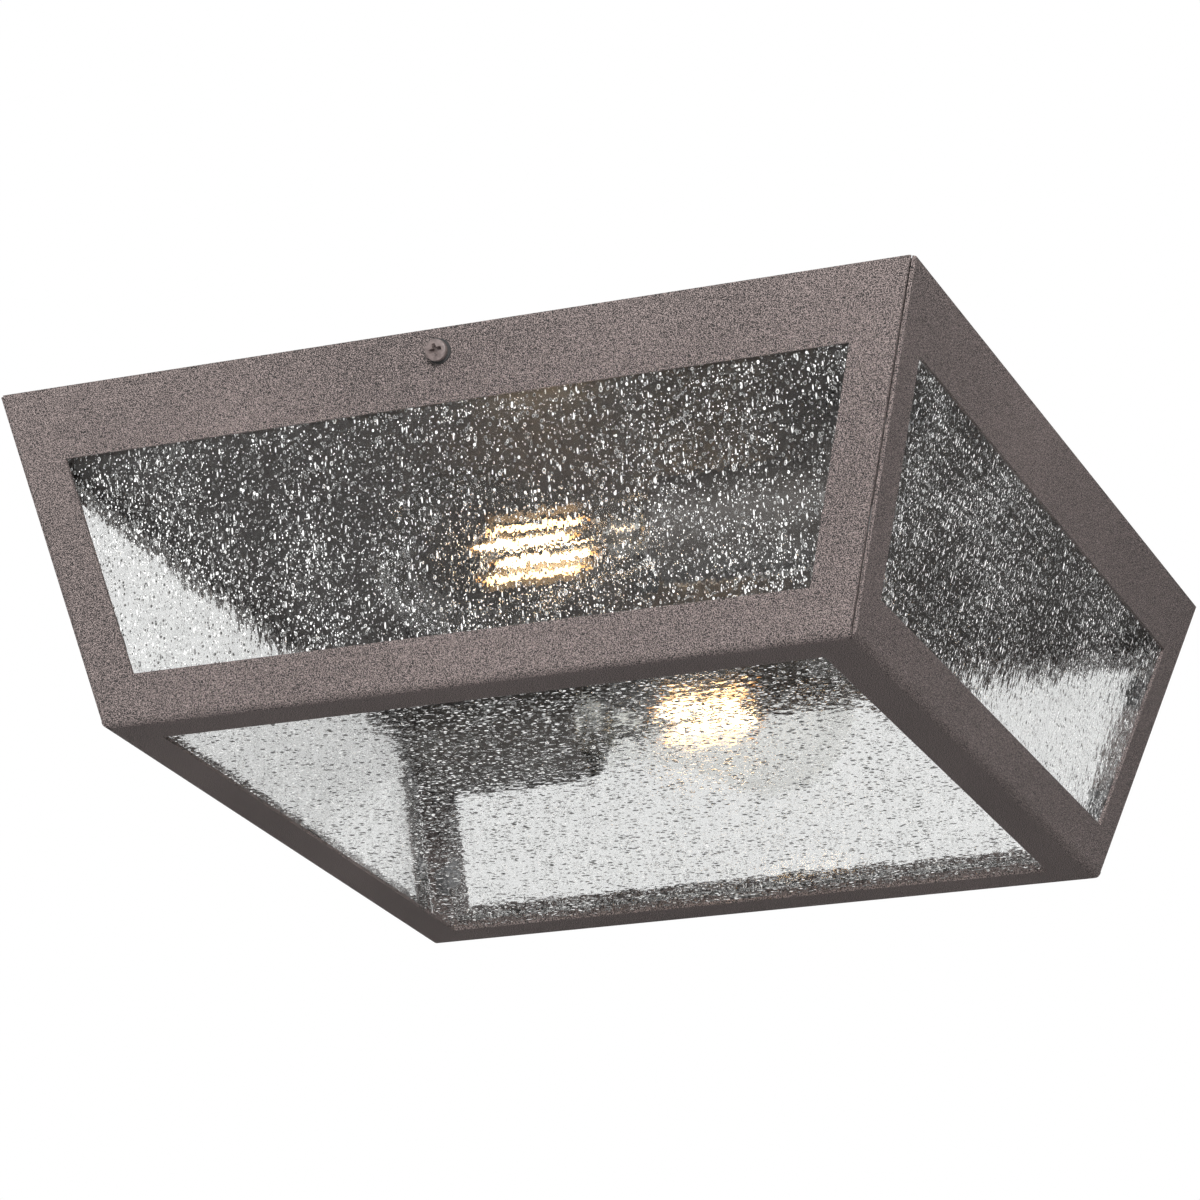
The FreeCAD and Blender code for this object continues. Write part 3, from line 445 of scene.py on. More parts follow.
@dataclass(frozen=True)
class PowderCoat:
    """Textured or smooth bronze powder coat."""

    name: str
    colour: Colour
    roughness: float
    grain: float
    depth: float
    contrast: float = 0.15
    drift_scale: float = 9.0
    drift_share: float = 0.1
    tone: Span = (0.4, 0.62)
    grain_sheen: float = 0.16
    drift_sheen: float = 0.08

    def make(self) -> bpy.types.Material:
        """Builds the coat: fine pebbled relief, slight shifts of tone and sheen.

        Returns:
            The finished material.
        """
        sheet = NodeSheet(self.name)
        pebble = sheet.noise(1.0 / self.grain, 1.0)
        drift = sheet.noise(self.drift_scale, 1.0)
        dark = scaled(self.colour, 1.0 - self.contrast)
        light = scaled(self.colour, 1.0 + self.contrast)
        tone = (pebble * (1.0 - self.drift_share) + drift * self.drift_share).band(self.tone)
        shader = sheet.surface(
            Base_Color=sheet.blend(tone, dark, light),
            Roughness=self.roughness + pebble.swing(self.grain_sheen) + drift.swing(self.drift_sheen),
            Normal=sheet.relief(pebble, self.depth),
        )
        return sheet.close(shader)


@dataclass(frozen=True)
class PlatedMetal:
    """Plated or bare metal with fine brushed or drawn lines."""

    name: str
    colour: Colour
    roughness: float
    lines: tuple[float, float, float] = (900.0, 900.0, 900.0)
    line_depth: float = 0.00001
    cloud_scale: float = 60.0
    shade: float = 0.72
    tone: Span = (0.25, 0.7)
    line_sheen: float = 0.12
    cloud_sheen: float = 0.2

    def make(self) -> bpy.types.Material:
        """Builds the metal: fine lines, cloudy tone and small darker spots.

        Returns:
            The finished material.
        """
        sheet = NodeSheet(self.name)
        streak = sheet.noise(1.0, 2.0, sheet.stretched(self.lines))
        cloud = sheet.noise(self.cloud_scale, 2.0)
        tone = ((streak + cloud) * 0.5).band(self.tone)
        shader = sheet.surface(
            Base_Color=sheet.blend(tone, scaled(self.colour, self.shade), self.colour),
            Metallic=1.0,
            Roughness=self.roughness + cloud.swing(self.cloud_sheen) + streak.swing(self.line_sheen),
            Normal=sheet.relief(streak, self.line_depth),
        )
        return sheet.close(shader)


@dataclass(frozen=True)
class Moulding:
    """Moulded plastic, rubber or foam."""

    name: str
    colour: Colour
    roughness: float
    grain: float
    depth: float
    cloud_scale: float = 45.0
    bloom: float = 1.5
    bloom_lift: float = 0.01
    tone: Span = (0.35, 0.75)
    sheen: float = 0.15

    def make(self) -> bpy.types.Material:
        """Builds the moulding: pitted skin and a faint shift of tone.

        Returns:
            The finished material.
        """
        sheet = NodeSheet(self.name)
        pits, _, _ = sheet.cells(1.0 / self.grain)
        cloud = sheet.noise(self.cloud_scale, 3.0)
        light = tuple(self.bloom * part + self.bloom_lift for part in self.colour)
        shader = sheet.surface(
            Base_Color=sheet.blend(cloud.band(self.tone), self.colour, light),
            Roughness=self.roughness + cloud.swing(self.sheen),
            Normal=sheet.relief(pits, self.depth),
        )
        return sheet.close(shader)


def let_light_by(
    sheet: NodeSheet, glass: bpy.types.Node, tint: Colour, clear_share: float = 0.0
) -> bpy.types.Material:
    """Lets shadow and bounced rays straight through a glass, so that the light inside stays plain.

    Args:
        sheet: The glass's sheet.
        glass: Its shader.
        tint: Colour that the passing rays take.
        clear_share: Share of the other rays that pass straight as well, as through a very thin skin.

    Returns:
        The finished material.
    """
    passing = sheet.add("ShaderNodeBsdfTransparent", {}, {"Color": tint})
    shadow, diffuse = sheet.ray("Shadow", "Diffuse")
    return sheet.close(sheet.mixed(shadow.most(diffuse).most(clear_share), glass, passing))


@dataclass(frozen=True)
class ClearGlass:
    """Clear blown or pressed glass."""

    name: str
    tint: Colour
    roughness: float = 0.0
    index: float = 1.5
    clear_share: float = 0.0
    # Strength of the painted highlight's white glow at the rim; none where it is zero.
    painted_rim_highlight: float = 0.0
    rim: Span = (0.25, 0.6)
    wave_scale: float = 40.0
    wave_depth: float = 0.0001

    def make(self) -> bpy.types.Material:
        """Builds the glass with slow waves in its skin, and a painted highlight, a white glow at its rim,
        where it has one.

        Returns:
            The finished material.
        """
        sheet = NodeSheet(self.name)
        wave = sheet.noise(self.wave_scale, 1.0)
        glass = sheet.surface(
            Base_Color=self.tint,
            Roughness=self.roughness,
            IOR=self.index,
            Transmission_Weight=1.0,
            Normal=sheet.relief(wave, self.wave_depth),
        )
        if self.painted_rim_highlight:
            # Painted highlight: a white glowing rim that stands for the bright ring that a seed's bending of
            # the light gives.
            rim = sheet.surface(
                Base_Color=SEED_HIGHLIGHT_WHITE,
                Roughness=FROST,
                Emission_Color=SEED_HIGHLIGHT_WHITE,
                Emission_Strength=self.painted_rim_highlight,
            )
            weight = sheet.add("ShaderNodeLayerWeight", {}, {"Blend": 0.5})
            glass = sheet.mixed(Signal(sheet, weight.outputs["Facing"]).band(self.rim), glass, rim)
        return let_light_by(sheet, glass, self.tint, self.clear_share)


@dataclass(frozen=True)
class SeededGlass:
    """Drawn sheet glass with streaks, waves, scratches and a dust of the finest seeds; its marks glow white
    as painted highlights or are painted near black as shade.
    """

    name: str
    grain: Grain
    tint: Colour = (0.995, 0.999, 0.997)
    # Near black of the marks painted as shade.
    painted_shade_colour: Colour = (0.03, 0.03, 0.028)
    index: float = 1.36
    streak_width: float = 0.0012
    streak_length: float = 0.009
    streak_depth: float = 0.00004
    wave_length: float = 0.016
    wave_depth: float = 0.00002
    facet_width: float = 0.0011
    facet_length: float = 0.005
    facet_lean: float = 0.06
    hair_width: float = 0.0005
    hair_length: float = 0.014
    hair_span: Span = (0.55, 0.8)
    haze: float = 0.08
    haze_patch: float = 0.03
    haze_span: Span = (0.45, 0.7)
    crowd_span: Span = (0.3, 0.7)
    crowd_low: float = 0.7
    crowd_rise: float = 0.6
    dust_pitch: float = 0.0007
    dust_reach: float = 0.34
    dust_draw: float = 1.5
    grit_pitch: float = 0.0022
    grit_reach: float = 0.24
    grit_draw: float = 1.3
    # Specks always painted near black: painted shade where seeds show dark parts behind them.
    shade_speck_pitch: float = 0.0013
    shade_speck_reach: float = 0.4
    shade_speck_draw: float = 1.4
    scratch_pitch: float = 0.0012
    scratch_length: float = 0.05
    scratch_reach: float = 0.3
    scratch_share: float = 0.8
    least_mark: float = 0.2
    mark_rarity: float = 2.5
    mark_core: float = 0.6
    mark_depth: float = 0.00015
    mark_frost: float = 0.92
    # Glow of the white marks: a painted highlight.
    mark_painted_glow: float = 0.85
    # Share of the marks painted near black as shade.
    painted_shade_share: float = 0.2

    def along(self, width: float, length: float) -> tuple[float, float, float]:
        """Scale of a pattern that is drawn out along the grain.

        Args:
            width: Size across the grain, in metres.
            length: Size along the grain, in metres.

        Returns:
            Waves per metre along X, Y and Z.
        """
        across = 1.0 / width
        drawn = 1.0 / length
        return (across, across, drawn) if self.grain is Grain.UPRIGHT else (drawn, across, across)

    def spots(self, sheet: NodeSheet, pitch: float, length: float, reach: Value) -> tuple[Signal, Signal]:
        """Small marks of random size, round or drawn out along the grain.

        Args:
            sheet: The glass's sheet.
            pitch: Distance between marks across the grain.
            length: Distance between marks along the grain.
            reach: Largest half width, as a share of the pitch.

        Returns:
            A signal of one on a mark and zero elsewhere, with soft rims, and the same for the marks painted
            dark as shade alone.
        """
        distance, chance, kind = sheet.cells(1.0, sheet.stretched(self.along(pitch, length)))
        rim = reach * (self.least_mark + (1.0 - self.least_mark) * chance ** self.mark_rarity)
        mark = 1.0 - distance.rise(rim * self.mark_core, rim)
        return mark, mark * (kind > 1.0 - self.painted_shade_share)

    def make(self) -> bpy.types.Material:
        """Builds the glass: relief bends the view; dust, scratches and streaks are frosted marks that glow
        white as painted highlights, or are painted near black as shade.

        Returns:
            The finished material.
        """
        sheet = NodeSheet(self.name)
        streak = sheet.noise(1.0, 1.0, sheet.stretched(self.along(self.streak_width, self.streak_length)))
        wave = sheet.noise(1.0 / self.wave_length, 1.0)
        hair = sheet.noise(1.0, 2.0, sheet.stretched(self.along(self.hair_width, self.hair_length)))
        patch = sheet.noise(1.0 / self.haze_patch, 2.0)
        crowd = patch.band(self.crowd_span) * self.crowd_rise + self.crowd_low
        dust_length = self.dust_pitch * self.dust_draw
        dust, dust_shade = self.spots(sheet, self.dust_pitch, dust_length, crowd * self.dust_reach)
        grit_length = self.grit_pitch * self.grit_draw
        grit, grit_shade = self.spots(sheet, self.grit_pitch, grit_length, self.grit_reach)
        scratch, scratch_shade = self.spots(sheet, self.scratch_pitch, self.scratch_length, self.scratch_reach)
        shade_speck_length = self.shade_speck_pitch * self.shade_speck_draw
        shade_specks, _ = self.spots(sheet, self.shade_speck_pitch, shade_speck_length, self.shade_speck_reach)
        marks = dust.most(grit).most(scratch * self.scratch_share).most(shade_specks)
        # Painted shade: the marks that are drawn near black.
        dark = dust_shade.most(grit_shade).most(scratch_shade).most(shade_specks)
        haze = hair.band(self.hair_span) * patch.band(self.haze_span) * self.haze
        height = streak * self.streak_depth + wave * self.wave_depth + marks * self.mark_depth
        torn = sheet.stretched(self.along(self.facet_width, self.facet_length))
        glass = sheet.surface(
            Base_Color=self.tint,
            Roughness=0.0,
            IOR=self.index,
            Transmission_Weight=1.0,
            Normal=sheet.relief(height, 1.0, sheet.facets(self.facet_lean, torn)),
        )
        # Painted light: the marks are white and glow as painted highlights, or near black as painted shade,
        # standing for how real seeds bend the light.
        colour = sheet.blend(dark, SEED_HIGHLIGHT_WHITE, self.painted_shade_colour)
        frost_and_painted_glow = sheet.surface(
            Base_Color=colour,
            Roughness=FROST,
            Emission_Color=colour,
            Emission_Strength=self.mark_painted_glow,
        )
        marked = sheet.mixed((marks * self.mark_frost).most(haze), glass, frost_and_painted_glow)
        return let_light_by(sheet, marked, self.tint)


@dataclass(frozen=True)
class LitPhosphor:
    """Yellow phosphor coat of a lit filament, orange and dimmer at its ends."""

    name: str
    strength: float
    speck_scale: float = 1500.0
    coat: tuple[Colour, Colour] = ((0.85, 0.55, 0.16), (0.95, 0.68, 0.24))
    dark_end: Colour = (0.05, 0.012, 0.002)
    half_lit: Colour = (0.3, 0.19, 0.1)
    lit: Colour = (1.0, 0.7, 0.4)
    roughness: float = 0.55
    sheen: float = 0.2

    def make(self) -> bpy.types.Material:
        """Builds the coat from the bar's own `glow` attribute, 1 along its lit length.

        Returns:
            The finished material.
        """
        sheet = NodeSheet(self.name)
        glow = sheet.add("ShaderNodeAttribute", {"attribute_name": "glow"}).outputs["Fac"]
        speck = sheet.noise(self.speck_scale, 1.0)
        stops = [(0.0, self.dark_end), (0.5, self.half_lit), (1.0, self.lit)]
        ramp = sheet.add("ShaderNodeValToRGB", {"stops": stops}, {"Fac": glow})
        shader = sheet.surface(
            Base_Color=sheet.blend(speck, *self.coat),
            Roughness=self.roughness + speck.swing(self.sheen),
            Emission_Color=ramp.outputs["Color"],
            Emission_Strength=self.strength,
        )
        return sheet.close(shader)


COAT_COLOUR: Colour = (0.196, 0.158, 0.15)
ALL_FINISHES = (
    PowderCoat("bronze_texture_paint", COAT_COLOUR, 0.55, 0.0003, 0.0005, contrast=0.97),
    PowderCoat("screw_paint", COAT_COLOUR, 0.36, 0.0012, 0.00003),
    # The smooth paint and the canopy's paint are the cage's bronze made much darker: painted shade on the
    # parts inside the cage.
    PowderCoat("bronze_smooth_paint", (0.07, 0.062, 0.057), 0.34, 0.0016, 0.00002),
    PowderCoat("canopy_paint", (0.063, 0.054, 0.049), 0.44, 0.0009, 0.00004),
    SeededGlass("seeded_pane_glass", Grain.UPRIGHT),
    SeededGlass(
        "seeded_floor_glass",
        Grain.LEVEL,
        index=1.2,
        streak_width=0.0025,
        streak_length=0.004,
        streak_depth=0.00002,
        wave_depth=0.00001,
        facet_width=0.0013,
        facet_length=0.0026,
        facet_lean=0.021,
        hair_length=0.003,
        haze=0.03,
        dust_pitch=0.0014,
        dust_reach=0.38,
        shade_speck_pitch=0.002,
        shade_speck_reach=0.46,
        scratch_pitch=0.0016,
        scratch_length=0.005,
        mark_depth=0.00006,
        painted_shade_share=0.4,
    ),
    # A seed is air in glass, so its index is the glass's turned over; its white glowing rim is a painted
    # highlight.
    ClearGlass("seed_glass", WHITE, index=0.667, painted_rim_highlight=0.8),
    ClearGlass("clear_lamp_glass", (0.995, 0.995, 0.99), index=1.4, clear_share=0.94),
    ClearGlass("stem_glass", (0.93, 0.93, 0.9), 0.12),
    PlatedMetal("spring_steel", (0.5, 0.5, 0.51), 0.32),
    PlatedMetal("zinc_plated_steel", (0.66, 0.67, 0.68), 0.36),
    PlatedMetal("rivet_aluminium", (0.72, 0.72, 0.73), 0.38),
    PlatedMetal("ground_screw_green", (0.06, 0.36, 0.14), 0.35),
    PlatedMetal("screw_shell_metal", (0.78, 0.76, 0.72), 0.3),
    PlatedMetal("contact_brass", (0.8, 0.6, 0.28), 0.32),
    PlatedMetal("lamp_base_metal", (0.8, 0.78, 0.74), 0.28),
    PlatedMetal("lamp_contact_metal", (0.62, 0.62, 0.62), 0.42),
    PlatedMetal("support_wire", (0.66, 0.6, 0.54), 0.35),
    Moulding("bushing_nylon", (0.028, 0.028, 0.028), 0.5, 0.0012, 0.00002),
    Moulding("gasket_foam", (0.05, 0.05, 0.05), 0.9, 0.0006, 0.00015),
    Moulding("seal_rubber", (0.025, 0.025, 0.025), 0.7, 0.0008, 0.00003),
    Moulding("holder_moulding", (0.022, 0.02, 0.019), 0.42, 0.0015, 0.00002),
    Moulding("base_insulator", (0.02, 0.02, 0.022), 0.15, 0.003, 0.00001),
    LitPhosphor("filament_phosphor", 11.0),
)


@dataclass
class Finishes:
    """Every finish of the light, built once and looked up by its name."""

    materials: dict[str, bpy.types.Material] = field(default_factory=dict)

    def make(self) -> Finishes:
        """Builds all finishes and returns itself."""
        self.materials = {finish.name: finish.make() for finish in ALL_FINISHES}
        return self

    def dress(self, node: bpy.types.Object, slot: str) -> None:
        """Gives a piece one finish.

        Args:
            node: Mesh object.
            slot: Name of the finish.
        """
        node.data.materials.clear()
        node.data.materials.append(self.materials[slot])


# Mesh tools


def turns(steps: int) -> list[float]:
    """Evenly spaced angles of one turn, in radians."""
    return [2.0 * math.pi * step / steps for step in range(steps)]


def arc(centre: tuple[float, float], radius: float, start: float, end: float, steps: int) -> Outline:
    """Points along a circle's arc.

    Args:
        centre: Middle of the circle.
        radius: Its radius.
        start: Angle of the first point, in degrees.
        end: Angle of the last point, in degrees.
        steps: Number of parts.

    Returns:
        The points, both ends included.
    """
    points = []
    for step in range(steps + 1):
        angle = math.radians(start + (end - start) * step / steps)
        points.append((centre[0] + radius * math.cos(angle), centre[1] + radius * math.sin(angle)))
    return points


def circle(radius: float, height: float, steps: int) -> Ring:
    """Points round the Z axis, or one point where there is no radius.

    Args:
        radius: The circle's radius, in millimetres.
        height: Its height, in millimetres.
        steps: Number of points.

    Returns:
        The points.
    """
    if radius < POLE:
        return [(0.0, 0.0, height)]
    return [(radius * math.cos(angle), radius * math.sin(angle), height) for angle in turns(steps)]


def skin(name: str, rings: Sequence[Ring], placing: Matrix) -> bpy.types.Mesh:
    """Closed skin over rings of points; it closes from the last ring to the first unless both are poles.

    Args:
        name: The mesh's name.
        rings: Rings of as many points each, in millimetres; a ring of one point is a pole.
        placing: Where the shape goes, in metres.

    Returns:
        The mesh, its faces outwards.
    """
    steps = max(len(ring) for ring in rings)
    book = bmesh.new()
    rows = []
    for ring in rings:
        row = [book.verts.new([part * MM for part in point]) for point in ring]
        rows.append(row * (steps // len(row)))
    pairs = list(zip(rows, rows[1:]))
    if max(len(rings[0]), len(rings[-1])) > 1:
        pairs.append((rows[-1], rows[0]))
    for low, high in pairs:
        for step in range(steps):
            after = (step + 1) % steps
            corners = []
            for corner in (low[step], low[after], high[after], high[step]):
                if corner not in corners:
                    corners.append(corner)
            if len(corners) > 2:
                book.faces.new(corners)
    bmesh.ops.recalc_face_normals(book, faces=book.faces)
    mesh = bpy.data.meshes.new(name)
    book.to_mesh(mesh)
    book.free()
    mesh.transform(placing)
    return mesh


def lathe(name: str, outline: Outline, placing: Matrix, steps: int = 64) -> bpy.types.Mesh:
    """Turns an outline of (radius, height) points, in millimetres, about Z.

    Args:
        name: The mesh's name.
        outline: Points; one with no radius is a pole.
        placing: Where the turned shape goes, in metres.
        steps: Number of parts round the axis.

    Returns:
        The mesh, its faces outwards.
    """
    return skin(name, [circle(radius, height, steps) for radius, height in outline], placing)


def plane(name: str, corners: Sequence[Sequence[float]]) -> bpy.types.Mesh:
    """Flat mesh of one face.

    Args:
        name: The mesh's name.
        corners: Its four corners, in metres.

    Returns:
        The mesh.
    """
    mesh = bpy.data.meshes.new(name)
    mesh.from_pydata(corners, [], [(0, 1, 2, 3)])
    return mesh


def square(name: str, half: float, height: float) -> bpy.types.Mesh:
    """Level square about the Z axis.

    Args:
        name: The mesh's name.
        half: Half of its side, in metres.
        height: Its height, in metres.

    Returns:
        The mesh.
    """
    return plane(name, [(x * half, y * half, height) for x, y in ((-1, -1), (1, -1), (1, 1), (-1, 1))])


def linked(name: str, data: bpy.types.ID) -> bpy.types.Object:
    """Object with some data, linked to the scene.

    Args:
        name: The object's name.
        data: Its mesh, curve, lamp or camera.

    Returns:
        The object.
    """
    piece = bpy.data.objects.new(name, data)
    bpy.context.scene.collection.objects.link(piece)
    return piece


def settled(piece: bpy.types.Object) -> bpy.types.Mesh:
    """Plain mesh of an object with its modifiers applied, in place of the object.

    Args:
        piece: The object, which is removed.

    Returns:
        The mesh.
    """
    bpy.context.view_layer.update()
    graph = bpy.context.evaluated_depsgraph_get()
    mesh = bpy.data.meshes.new_from_object(piece.evaluated_get(graph))
    bpy.data.objects.remove(piece)
    return mesh


def finished(name: str, mesh: bpy.types.Mesh, crease: float = 35.0) -> bpy.types.Object:
    """Turns a mesh into a smooth piece with sharp edges where it folds.

    Args:
        name: The piece's name.
        mesh: Its mesh, in place.
        crease: Angle in degrees past which an edge stays sharp.

    Returns:
        The piece.
    """
    for face in mesh.polygons:
        face.use_smooth = True
    mesh.set_sharp_from_angle(angle=math.radians(crease))
    return linked(name, mesh)


def cut(mesh: bpy.types.Mesh, tool: bpy.types.Mesh) -> bpy.types.Mesh:
    """Cuts one closed mesh out of another.

    Args:
        mesh: What is cut.
        tool: What is taken away.

    Returns:
        The cut mesh.
    """
    stock = linked("stock", mesh)
    cutter = linked("cutter", tool)
    modifier = stock.modifiers.new("cut", "BOOLEAN")
    modifier.object = cutter
    modifier.operation = "DIFFERENCE"
    modifier.solver = "EXACT"
    result = settled(stock)
    bpy.data.objects.remove(cutter)
    return result


def tube(name: str, paths: Sequence[Sequence[Vector]], radius: float) -> bpy.types.Mesh:
    """Round wires along smooth paths.

    Args:
        name: The mesh's name.
        paths: Points of each wire, in metres.
        radius: Wire radius, in metres.

    Returns:
        One mesh with every wire.
    """
    curve = bpy.data.curves.new(name, "CURVE")
    curve.dimensions = "3D"
    curve.bevel_depth = radius
    curve.bevel_resolution = 2
    curve.use_fill_caps = True
    for path in paths:
        spline = curve.splines.new("NURBS")
        spline.points.add(len(path) - 1)
        for point, place in zip(spline.points, path):
            point.co = (*place, 1.0)
        spline.order_u = 3
        spline.use_endpoint_u = True
        spline.resolution_u = 6
    return settled(linked(name, curve))


class Recipe(NodeBoard):
    """A Geometry Nodes tree with named inputs."""

    def __init__(self, name: str) -> None:
        """Starts an empty tree with its geometry going in and out.

        Args:
            name: The tree's name.
        """
        super().__init__(bpy.data.node_groups.new(name, "GeometryNodeTree"))
        for way in ("INPUT", "OUTPUT"):
            self.tree.interface.new_socket("Geometry", in_out=way, socket_type="NodeSocketGeometry")
        self.identifiers: dict[str, str] = {}
        self.start: bpy.types.Node | None = None

    def ask(self, kind: str, **values: object) -> None:
        """Adds named inputs of one kind.

        Args:
            kind: Their socket type, such as Float or Material.
            values: The default value of each, by the input's name.
        """
        for name, value in values.items():
            socket = self.tree.interface.new_socket(name, in_out="INPUT", socket_type="NodeSocket" + kind)
            if value is not None:
                socket.default_value = value
            self.identifiers[name] = socket.identifier

    def given(self, name: str) -> bpy.types.NodeSocket:
        """The socket that carries a named input inside the tree.

        Args:
            name: The input's name.

        Returns:
            The socket.
        """
        if self.start is None:
            self.start = self.tree.nodes.new("NodeGroupInput")
        return self.start.outputs[name]

    def number(self, name: str) -> Signal:
        """A named input as a number that can be used in an expression."""
        return Signal(self, self.given(name))

    def chance(self, low: object, high: object, seed: object) -> Signal:
        """Random number for each point.

        Args:
            low: Its least value, or the socket that gives it.
            high: Its greatest value, or the socket that gives it.
            seed: The draw's seed, or the socket that gives it.

        Returns:
            The number.
        """
        sockets = {2: low, 3: high, "Seed": seed}
        node = self.add("FunctionNodeRandomValue", {"data_type": "FLOAT"}, sockets)
        return Signal(self, node.outputs[1])

    def times(self, vector: bpy.types.NodeSocket, share: object) -> bpy.types.NodeSocket:
        """A vector made longer by a share.

        Args:
            vector: The vector.
            share: The share, as a signal or a socket.

        Returns:
            The longer vector.
        """
        node = self.add("ShaderNodeVectorMath", {"operation": "SCALE"}, {0: vector, "Scale": share})
        return node.outputs[0]

    def close(self, geometry: bpy.types.NodeSocket) -> None:
        """Ends the tree in Realize Instances and Set Material.

        Args:
            geometry: The last geometry.
        """
        real = self.add("GeometryNodeRealizeInstances", {}, {"Geometry": geometry})
        sockets = {"Geometry": real.outputs[0], "Material": self.given("Material")}
        dressed = self.add("GeometryNodeSetMaterial", {}, sockets)
        self.add("NodeGroupOutput", {}, {"Geometry": dressed.outputs[0]})

    def grow(self, name: str, base: bpy.types.Mesh, values: dict[str, object]) -> bpy.types.Mesh:
        """Runs the tree on a mesh.

        Args:
            name: Name of the new mesh.
            base: Mesh that the tree starts from.
            values: Value for each named input.

        Returns:
            The plain mesh that comes out.
        """
        holder = linked(name, base)
        modifier = holder.modifiers.new(name, "NODES")
        modifier.node_group = self.tree
        for key, value in values.items():
            modifier[self.identifiers[key]] = value
        holder.update_tag()
        mesh = settled(holder)
        mesh.name = name
        return mesh


def seed_recipe() -> Recipe:
    """Builds the tree that scatters small stretched bubbles over a pane's middle plane.

    Returns:
        The tree.
    """
    recipe = Recipe("pane_seeds")
    recipe.ask("Float", Density=6000.0, Spacing=0.002, Small=0.0002, Large=0.0006, Stretch=2.0, Depth=0.001)
    recipe.ask("Int", Seed=1)
    recipe.ask("Material", Material=None)
    points = recipe.add(
        "GeometryNodeDistributePointsOnFaces",
        {"distribute_method": "POISSON"},
        {
            "Mesh": recipe.given("Geometry"),
            "Distance Min": recipe.given("Spacing"),
            "Density Max": recipe.given("Density"),
            "Seed": recipe.given("Seed"),
        },
    )
    lift = recipe.chance(-1.0, 1.0, recipe.given("Seed")) * recipe.number("Depth")
    offset = recipe.times(points.outputs["Normal"], lift)
    sockets = {"Geometry": points.outputs["Points"], "Offset": offset}
    moved = recipe.add("GeometryNodeSetPosition", {}, sockets)
    radius = recipe.add(
        "ShaderNodeMapRange",
        {},
        {
            "Value": recipe.chance(0.0, 1.0, BUBBLE_SIZE_SEED) ** BUBBLE_SIZE_RARITY,
            "To Min": recipe.given("Small"),
            "To Max": recipe.given("Large"),
        },
    )
    draw = recipe.chance(1.0, recipe.given("Stretch"), BUBBLE_DRAW_SEED)
    shape = recipe.add("ShaderNodeCombineXYZ", {}, {"X": 1.0, "Y": draw, "Z": 1.0})
    bubble = recipe.add("GeometryNodeMeshUVSphere", {}, {"Segments": 6, "Rings": 4, "Radius": 1.0})
    placed = recipe.add(
        "GeometryNodeInstanceOnPoints",
        {},
        {
            "Points": moved.outputs[0],
            "Instance": bubble.outputs[0],
            "Rotation": points.outputs["Rotation"],
            "Scale": recipe.times(shape.outputs[0], radius.outputs[0]),
        },
    )
    recipe.close(placed.outputs[0])
    return recipe


def ridge_recipe() -> Recipe:
    """Builds the tree that winds a screw thread's ridge along +Z from the origin.

    Returns:
        The tree.
    """
    recipe = Recipe("thread_ridge")
    recipe.ask("Float", Radius=0.002, Pitch=0.0008, Length=0.006, Ridge=0.0003)
    recipe.ask("Int", Sides=6)
    recipe.ask("Material", Material=None)
    spiral = recipe.add(
        "GeometryNodeCurveSpiral",
        {},
        {
            "Resolution": 24,
            "Rotations": recipe.number("Length") / recipe.number("Pitch"),
            "Start Radius": recipe.given("Radius"),
            "End Radius": recipe.given("Radius"),
            "Height": recipe.given("Length"),
        },
    )
    profile = recipe.add(
        "GeometryNodeCurvePrimitiveCircle",
        {"mode": "RADIUS"},
        {"Resolution": recipe.given("Sides"), "Radius": recipe.given("Ridge")},
    )
    sockets = {"Curve": spiral.outputs[0], "Profile Curve": profile.outputs[0], "Fill Caps": True}
    swept = recipe.add("GeometryNodeCurveToMesh", {}, sockets)
    recipe.close(swept.outputs[0])
    return recipe


def copies_recipe() -> Recipe:
    """Builds the tree that sets one fastener on each point of a mesh.

    Returns:
        The tree.
    """
    recipe = Recipe("fastener_copies")
    recipe.ask("Object", Fastener=None)
    recipe.ask("Material", Material=None)
    source = recipe.add("GeometryNodeObjectInfo", {}, {"Object": recipe.given("Fastener")})
    sockets = {"Points": recipe.given("Geometry"), "Instance": source.outputs["Geometry"]}
    placed = recipe.add("GeometryNodeInstanceOnPoints", {}, sockets)
    recipe.close(placed.outputs[0])
    return recipe


# Sub-assemblies


